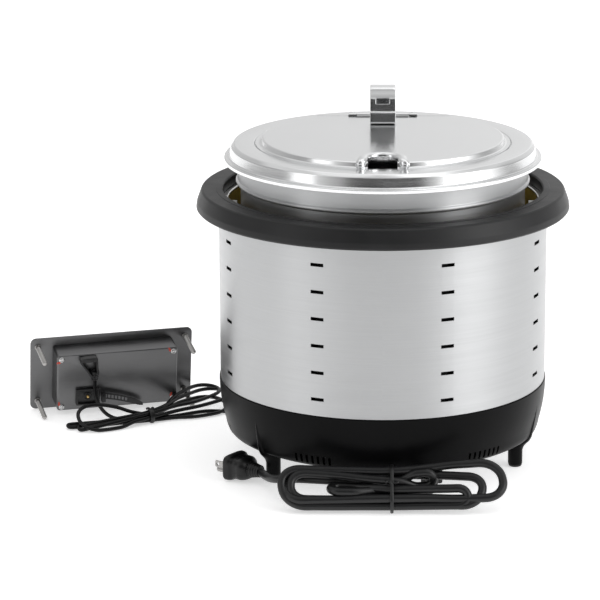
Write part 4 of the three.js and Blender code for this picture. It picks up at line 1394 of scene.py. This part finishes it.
def panel_back(paints):
    face = BOX["face"]
    x0, x1, z0, z1 = 41.1, 65.3, 14.2, 31.9
    wall = framed(
        "aux_socket_piece", rectangle(x0, x1, z0, z1, 1.2), 2.6, face, face + 3, paints["strap"],
        PANEL_FACE, 0.35,
    )
    floor = plane_prism(
        "socket_floor", rectangle(x0 + 1.5, x1 - 1.5, z0 + 1.5, z1 - 1.5, 0.8), face, face + 0.8,
        paints["strap"], 0.1,
    )
    boss = lathe(
        "socket_boss", [
            (0, face), (4.4, face), (4.4, face + 1.6, 0.3), (3.4, face + 1.9, 0.3),
            (3.0, face + 1.0, 0.2), (0, face + 1.0),
        ],
        paints["strap"], PANEL_FACE @ Matrix.Translation((53.2 * MM, 23.05 * MM, 0)), 36, closed=False,
    )
    settle(joined("aux_socket_piece", [wall, floor, boss]), "kettle_body", "black_plastic", "aux_socket")
    pin = lathe(
        "socket_pin_piece", [
            (0, face + 0.8), (1.5, face + 0.8), (1.5, face + 2.2, 0.3), (0.9, face + 3.1, 0.4),
            (0, face + 3.2),
        ],
        paints["brass"], PANEL_FACE @ Matrix.Translation((53.2 * MM, 23.05 * MM, 0)), 28, closed=False,
    )
    settle(pin, "kettle_body", "brass", "socket_pin")
    boot(paints, face)
    zip_tie(paints, face)


def boot(paints, face):
    """The cable's moulded boot: a flat loop that narrows to a ribbed collar round the cable."""
    loop = [
        (45.6, 66.2), (45.8, 62.8), (50, 56.4), (55.6, 48.4), (59.2, 45.6), (62.0, 49.6),
        (61.4, 57), (61.0, 63.6), (60.6, 66.4), (53, 66.8),
    ]
    path = along([Vector((x, z, face + 4.2)) for x, z in [*loop, loop[0]]], 1.0)[:-1]
    ring = swept(
        "cable_boot_piece", path, superellipse(1.35, 4.0, 3.2, 24), paints["strap"], PANEL_FACE,
        Vector((0, 0, 1)), closed=True,
    )
    top = plane_prism(
        "boot_top", rectangle(44.7, 61.8, 63.9, 67, 1.1), face, face + 9.4, paints["strap"], 0.7, 3,
    )
    web = plane_prism(
        "boot_web",
        [(46.4, 64.6, 1), (47, 62.6, 1), (56.2, 49.6, 1), (60.6, 49.8, 1), (60.2, 64.6, 1)], face,
        face + 1.4, paints["box"], 0.3,
    )
    sections = []
    for i in range(25):
        x = i * 0.4
        ridge = 0.5 if (i % 6) in (1, 2, 3) else 0
        sections.append((x, circle(2.7 + 1.5 * (x / 9.6) + ridge, 32)))
    axis = PANEL_FACE @ Matrix.Translation(
        (59.6 * MM, 42.6 * MM, (face + 4.4) * MM)
    ) @ Matrix.Rotation(math.pi / 2, 4, "Z")
    collar = lofted("boot_collar", sections, paints["strap"], axis, 40)
    settle(joined("cable_boot_piece", [ring, top, web, collar]), "kettle_body", "plug_body", "cable_boot")


def zip_tie(paints, face):
    """A ratchet tie: a buckle with its tongue, and a tail with a ladder of slots that droops."""
    buckle = plane_prism(
        "zip_tie_piece", rectangle(66, 70.2, 18.4, 28.4, 0.8), face + 3.6, face + 9.4,
        paints["strap"], 0.6, 3,
    )
    tongue = plane_prism(
        "zip_tongue", rectangle(66.9, 69.3, 20.4, 26.2, 0.4), face + 9.0, face + 10.2,
        paints["strap"], 0.3,
    )
    across = [-3.3, -2.1, 2.1, 3.3]
    stations, windows = [0, 1.4], []
    for k in range(7):
        windows.append(len(stations) - 1)
        stations += [1.4 + k * 3.5 + 2.3, 1.4 + (k + 1) * 3.5]
    stations += [28.5, 31.5, 34.5, 37.5, 39.6, 41]

    def droop_at(s):
        return 0.004 * s * s + 0.15 * s

    def point(y, s):
        narrow = 1 - max(0, (s - 36.5) / 4.5) * 0.55
        droop = droop_at(s)
        return (s, y * narrow * (1 - 0.004 * s) - droop + 0.2, 0.4 * math.sin(s * 0.09))

    mesh = grid_sheet(across, stations, point, lambda i, j: i == 1 and j in windows)
    place = PANEL_FACE @ Matrix.Translation((68 * MM, 24.4 * MM, (face + 6.2) * MM))
    tail = from_bmesh("zip_tail", mesh, place, paints["strap"], 40)
    tail = thicken(tail, 1.2, 40)
    back_mesh = grid_sheet(
        [-1.8, 1.8], [1.2, 6, 12, 18, 26.4],
        lambda y, s: (s, y * 0.98 - droop_at(s) + 0.2, 0.4 * math.sin(s * 0.09) - 0.75),
    )
    back = thicken(from_bmesh("zip_back", back_mesh, place, paints["box"], 40), 0.25, 40)
    settle(joined("zip_tie_piece", [buckle, tongue, tail, back]), "kettle_body", "black_plastic", "zip_tie")


KEY_NAMES = ("power", "mode", "down", "up")
SEGMENTS = [(0, z, 2.9, 0.75) for z in (8.6, 0, -8.6)] + [
    (x, z, 0.75, 3.4) for z in (4.3, -4.3) for x in (-3.9, 3.9)
]
FRONT = PANEL_FACE @ Matrix.Rotation(math.pi, 4, "Y") @ Matrix.Translation((-PLATE["wide"] * MM, 0, 0))


def panel_front(paints):
    """The side the cook sees, drawn as seen from there: x runs the other way."""
    wide = PLATE["wide"]
    low_x, high_x = wide - 61.6, wide - 20.4
    key_spots = [wide - (74 + 21 * i) for i in range(len(KEY_NAMES))]
    outline = rounded(rectangle(8, 157.8, 8, 69.9, 4), True, 6)
    window_hole = rounded(
        [(wide - x, z, 0.6) for x, z in ((62, 24), (20, 24), (20, 54), (62, 54))], True, 3,
    )
    key_holes = [rounded(rectangle(x - 7.4, x + 7.4, 21.1, 32.9, 2.2), True, 5) for x in key_spots]
    sheet = slotted_sheet((outline, window_hole, *key_holes), 1.8, 2.7, lambda x, y, z: (x, y, z))
    overlay = from_bmesh("panel_overlay_piece", sheet, FRONT, paints["overlay"], 30)
    settle(bevelled(overlay, 0.2, 2, 50), "kettle_body", "overlay", "panel_overlay")
    window = prism(
        "display_window_piece", rectangle(low_x, high_x, 24.4, 53.6, 0.5), 1.8, 3.1,
        paints["window"], FRONT, 0.25,
    )
    digits = [window]
    for d in range(3):
        cx = low_x + 8.6 + d * 12
        for k, (ox, oz, half_wide, half_high) in enumerate(SEGMENTS):
            bar = rectangle(
                cx + ox - half_wide, cx + ox + half_wide, 39 + oz - half_high, 39 + oz + half_high,
                0.5,
            )
            digits.append(prism(f"segment_{d}_{k}", bar, 3.08, 3.16, paints["digit"], FRONT, 0.0))
    settle(joined("display_window_piece", digits), "kettle_body", "display", "display_window")
    for x, name in zip(key_spots, KEY_NAMES):
        cap = prism(
            f"key_{name}_piece", rectangle(x - 7, x + 7, 21.5, 32.5, 2), 2.8, 4.3, paints["key"],
            FRONT, 0.5, 3,
        )
        parts = [cap, *key_icon(name, x, 27, paints)]
        settle(joined(f"key_{name}_piece", parts), f"{name}_key", "keys", f"key_{name}")


def key_icon(name, x, z, paints):
    def bar(tag, outline):
        return prism(f"icon_{name}_{tag}", outline, 4.25, 4.42, paints["icon"], FRONT, 0.0)

    if name == "up":
        return [bar("a", [(x - 3.2, z - 1.8, 0.3), (x + 3.2, z - 1.8, 0.3), (x, z + 2.6, 0.3)])]
    if name == "down":
        return [bar("a", [(x - 3.2, z + 1.8, 0.3), (x, z - 2.6, 0.3), (x + 3.2, z + 1.8, 0.3)])]
    if name == "mode":
        return [
            bar(
                str(k), rectangle(x - 3, x + 3, z + 2 * k - 0.45, z + 2 * k + 0.45, 0.3),
            ) for k in (-1, 0, 1)
        ]
    ring = []
    for k in range(25):
        a = math.radians(125 + 290 * k / 24)
        ring.append(Vector((x + 2.7 * math.cos(a), z + 2.7 * math.sin(a), 4.33)))
    arc = swept("icon_power_arc", ring, circle(0.4, 8, stretch=0.25), paints["icon"], FRONT)
    return [arc, bar("b", rectangle(x - 0.4, x + 0.4, z + 0.8, z + 3.6, 0.3))]


# ------------------------------------------------------------ inside and below
def inner_parts(paints):
    looks = {
        "induction_coil": "coil", "coil_carrier": "aluminium", "power_board": "circuit",
        "heat_sink": "aluminium",
        "fan_frame": "strap", "bottom_plate": "dark",
    }
    for node, look in looks.items():
        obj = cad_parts[node]
        obj.data.materials.clear()
        obj.data.materials.append(paints[look])
    fan(paints)


def fan(paints):
    hub = [(0, 33.1), (12.6, 33.1, 1.2), (14, 34.4, 1), (14, 48.6), (0, 48.6)]
    place = KETTLE @ Matrix.Translation((52 * MM, 42 * MM, 0))
    parts = [lathe("fan_rotor_piece", hub, paints["strap"], place, 64, closed=False)]
    for k in range(7):
        def point(r, c):
            twist = math.radians(48 - 0.6 * (r - 12))
            width = 8 + 0.12 * (r - 12)
            sweep = 0.006 * (r - 12) ** 2
            a = sweep + c * width * math.cos(twist) / r
            return (r * math.cos(a), r * math.sin(a), 41 + c * width * math.sin(twist) * 0.72 - 1.2 * c * c)

        mesh = grid_sheet([12 + i * 1.8 for i in range(14)], [-1, -0.6, -0.2, 0.2, 0.6, 1], point)
        blade = from_bmesh(
            f"blade_{k}", mesh, place @ Matrix.Rotation(2 * math.pi * k / 7, 4, "Z"),
            paints["strap"], 40,
        )
        parts.append(thicken(blade, 1.1, 40))
    settle(joined("fan_rotor_piece", parts), "fan", "black_plastic", "fan_rotor")


# ------------------------------------------------------------ studio
# Tone of the room by degrees round the object, from its front towards +X, and by height.
ROOM_WALLS = [
    (-180, 0.92), (-170, 0.78), (-120, 0.6), (-80, 0.45), (-50, 0.75), (-32, 0.5), (-22, 0.08),
    (-9, 0.06), (4, 0.1), (18, 0.1),
    (27, 0.08), (36, 0.6), (58, 2.1), (80, 1.6), (110, 0.5), (150, 0.95), (170, 1.15), (180, 0.92),
]
ROOM_HEIGHTS = [(0.0, 0.0), (0.78, 0.0), (0.825, 0.8), (0.9, 0.6), (1.0, 0.3)]
ROOM_LEVEL = 0.85
# Each soft box: place, aim, width, height in metres, and power in watts.
SOFT_BOXES = {
    "key_right": ((2.6, -1.2, 1.3), (0.1, 0, 0.15), 1.6, 1.8, 15),
    "fill_left": ((-2.4, -1.4, 1.2), (0.0, 0, 0.15), 1.0, 1.6, 5),
    "overhead": ((0.1, 0.3, 2.6), (0.05, 0, 0.1), 2.6, 2.2, 7),
}


def area_light(name, spot, aim, wide, high, power):
    data = bpy.data.lights.new(name, "AREA")
    data.shape = "RECTANGLE"
    data.size, data.size_y = wide, high
    data.energy = power
    lamp = bpy.data.objects.new(name, data)
    bpy.context.scene.collection.objects.link(lamp)
    lamp.location = spot
    lamp.rotation_euler = (Vector(aim) - Vector(spot)).to_track_quat("-Z", "Y").to_euler()
    return lamp


def studio():
    """Soft boxes at both sides and above, in a room whose walls change tone round the object."""
    scene = bpy.context.scene
    scene.view_settings.view_transform = "Standard"
    scene.view_settings.look = "None"
    world = bpy.data.worlds.new("studio")
    scene.world = world
    world.use_nodes = True
    tree = world.node_tree
    link = tree.links.new

    def made(kind, **values):
        node = tree.nodes.new("ShaderNode" + kind)
        for key, value in values.items():
            setattr(node, key, value)
        return node

    def graded(value, stops):
        ramp = made("ValToRGB")
        ramp.color_ramp.interpolation = "EASE"
        elements = ramp.color_ramp.elements
        for element, (position, level) in zip(elements, (stops[0], stops[-1])):
            element.position, element.color = position, (level, level, level, 1)
        for position, level in stops[1:-1]:
            elements.new(position).color = (level, level, level, 1)
        link(value, ramp.inputs[0])
        return ramp.outputs[0]

    split = made("SeparateXYZ")
    link(made("TexCoord").outputs["Generated"], split.inputs[0])
    back = made("Math", operation="MULTIPLY")
    back.inputs[1].default_value = -1
    link(split.outputs[1], back.inputs[0])
    azimuth = made("Math", operation="ARCTAN2")
    link(split.outputs[0], azimuth.inputs[0])
    link(back.outputs[0], azimuth.inputs[1])
    turn = made("MapRange")
    turn.inputs[1].default_value = -math.pi
    turn.inputs[2].default_value = math.pi
    link(azimuth.outputs[0], turn.inputs[0])
    walls = [(degrees / 360 + 0.5, level) for degrees, level in ROOM_WALLS]
    rise = made("MapRange")
    rise.inputs[1].default_value = -1
    rise.inputs[2].default_value = 1
    link(split.outputs[2], rise.inputs[0])
    room = made("Mix", data_type="RGBA")
    room.inputs[7].default_value = (1, 1, 1, 1)
    link(graded(rise.outputs[0], ROOM_HEIGHTS), room.inputs[0])
    link(graded(turn.outputs[0], walls), room.inputs[6])
    link(room.outputs[2], tree.nodes["Background"].inputs["Color"])
    tree.nodes["Background"].inputs["Strength"].default_value = ROOM_LEVEL
    for name, lamp in SOFT_BOXES.items():
        area_light(name, *lamp)


def floor():
    mesh = bmesh.new()
    reach = 30
    corners = [mesh.verts.new((x, y, -0.0002)) for x, y in (
        (-reach, -reach), (reach, -reach), (reach, reach), (-reach, reach),
    )]
    mesh.faces.new(corners)
    data = bpy.data.meshes.new("floor")
    mesh.to_mesh(data)
    mesh.free()
    obj = bpy.data.objects.new("floor", data)
    bpy.context.scene.collection.objects.link(obj)
    paint = Paint("floor_paper", (0.93, 0.93, 0.93), 0.85)
    paint.set("Emission Color", (1, 1, 1, 1))
    paint.set("Emission Strength", 0.52)
    obj.data.materials.append(paint.material)


add_camera()
PAINTS = make_materials()
make_cords(PAINTS)
outer_shell(PAINTS)
top_ring(PAINTS)
inner_well(PAINTS)
base_housing(PAINTS)
inner_parts(PAINTS)
soup_inset(PAINTS)
lid_ring(PAINTS)
lid_flap(PAINTS)
lid_handle(PAINTS)
panel_plate(PAINTS)
control_box(PAINTS)
panel_back(PAINTS)
panel_front(PAINTS)
floor()
studio()
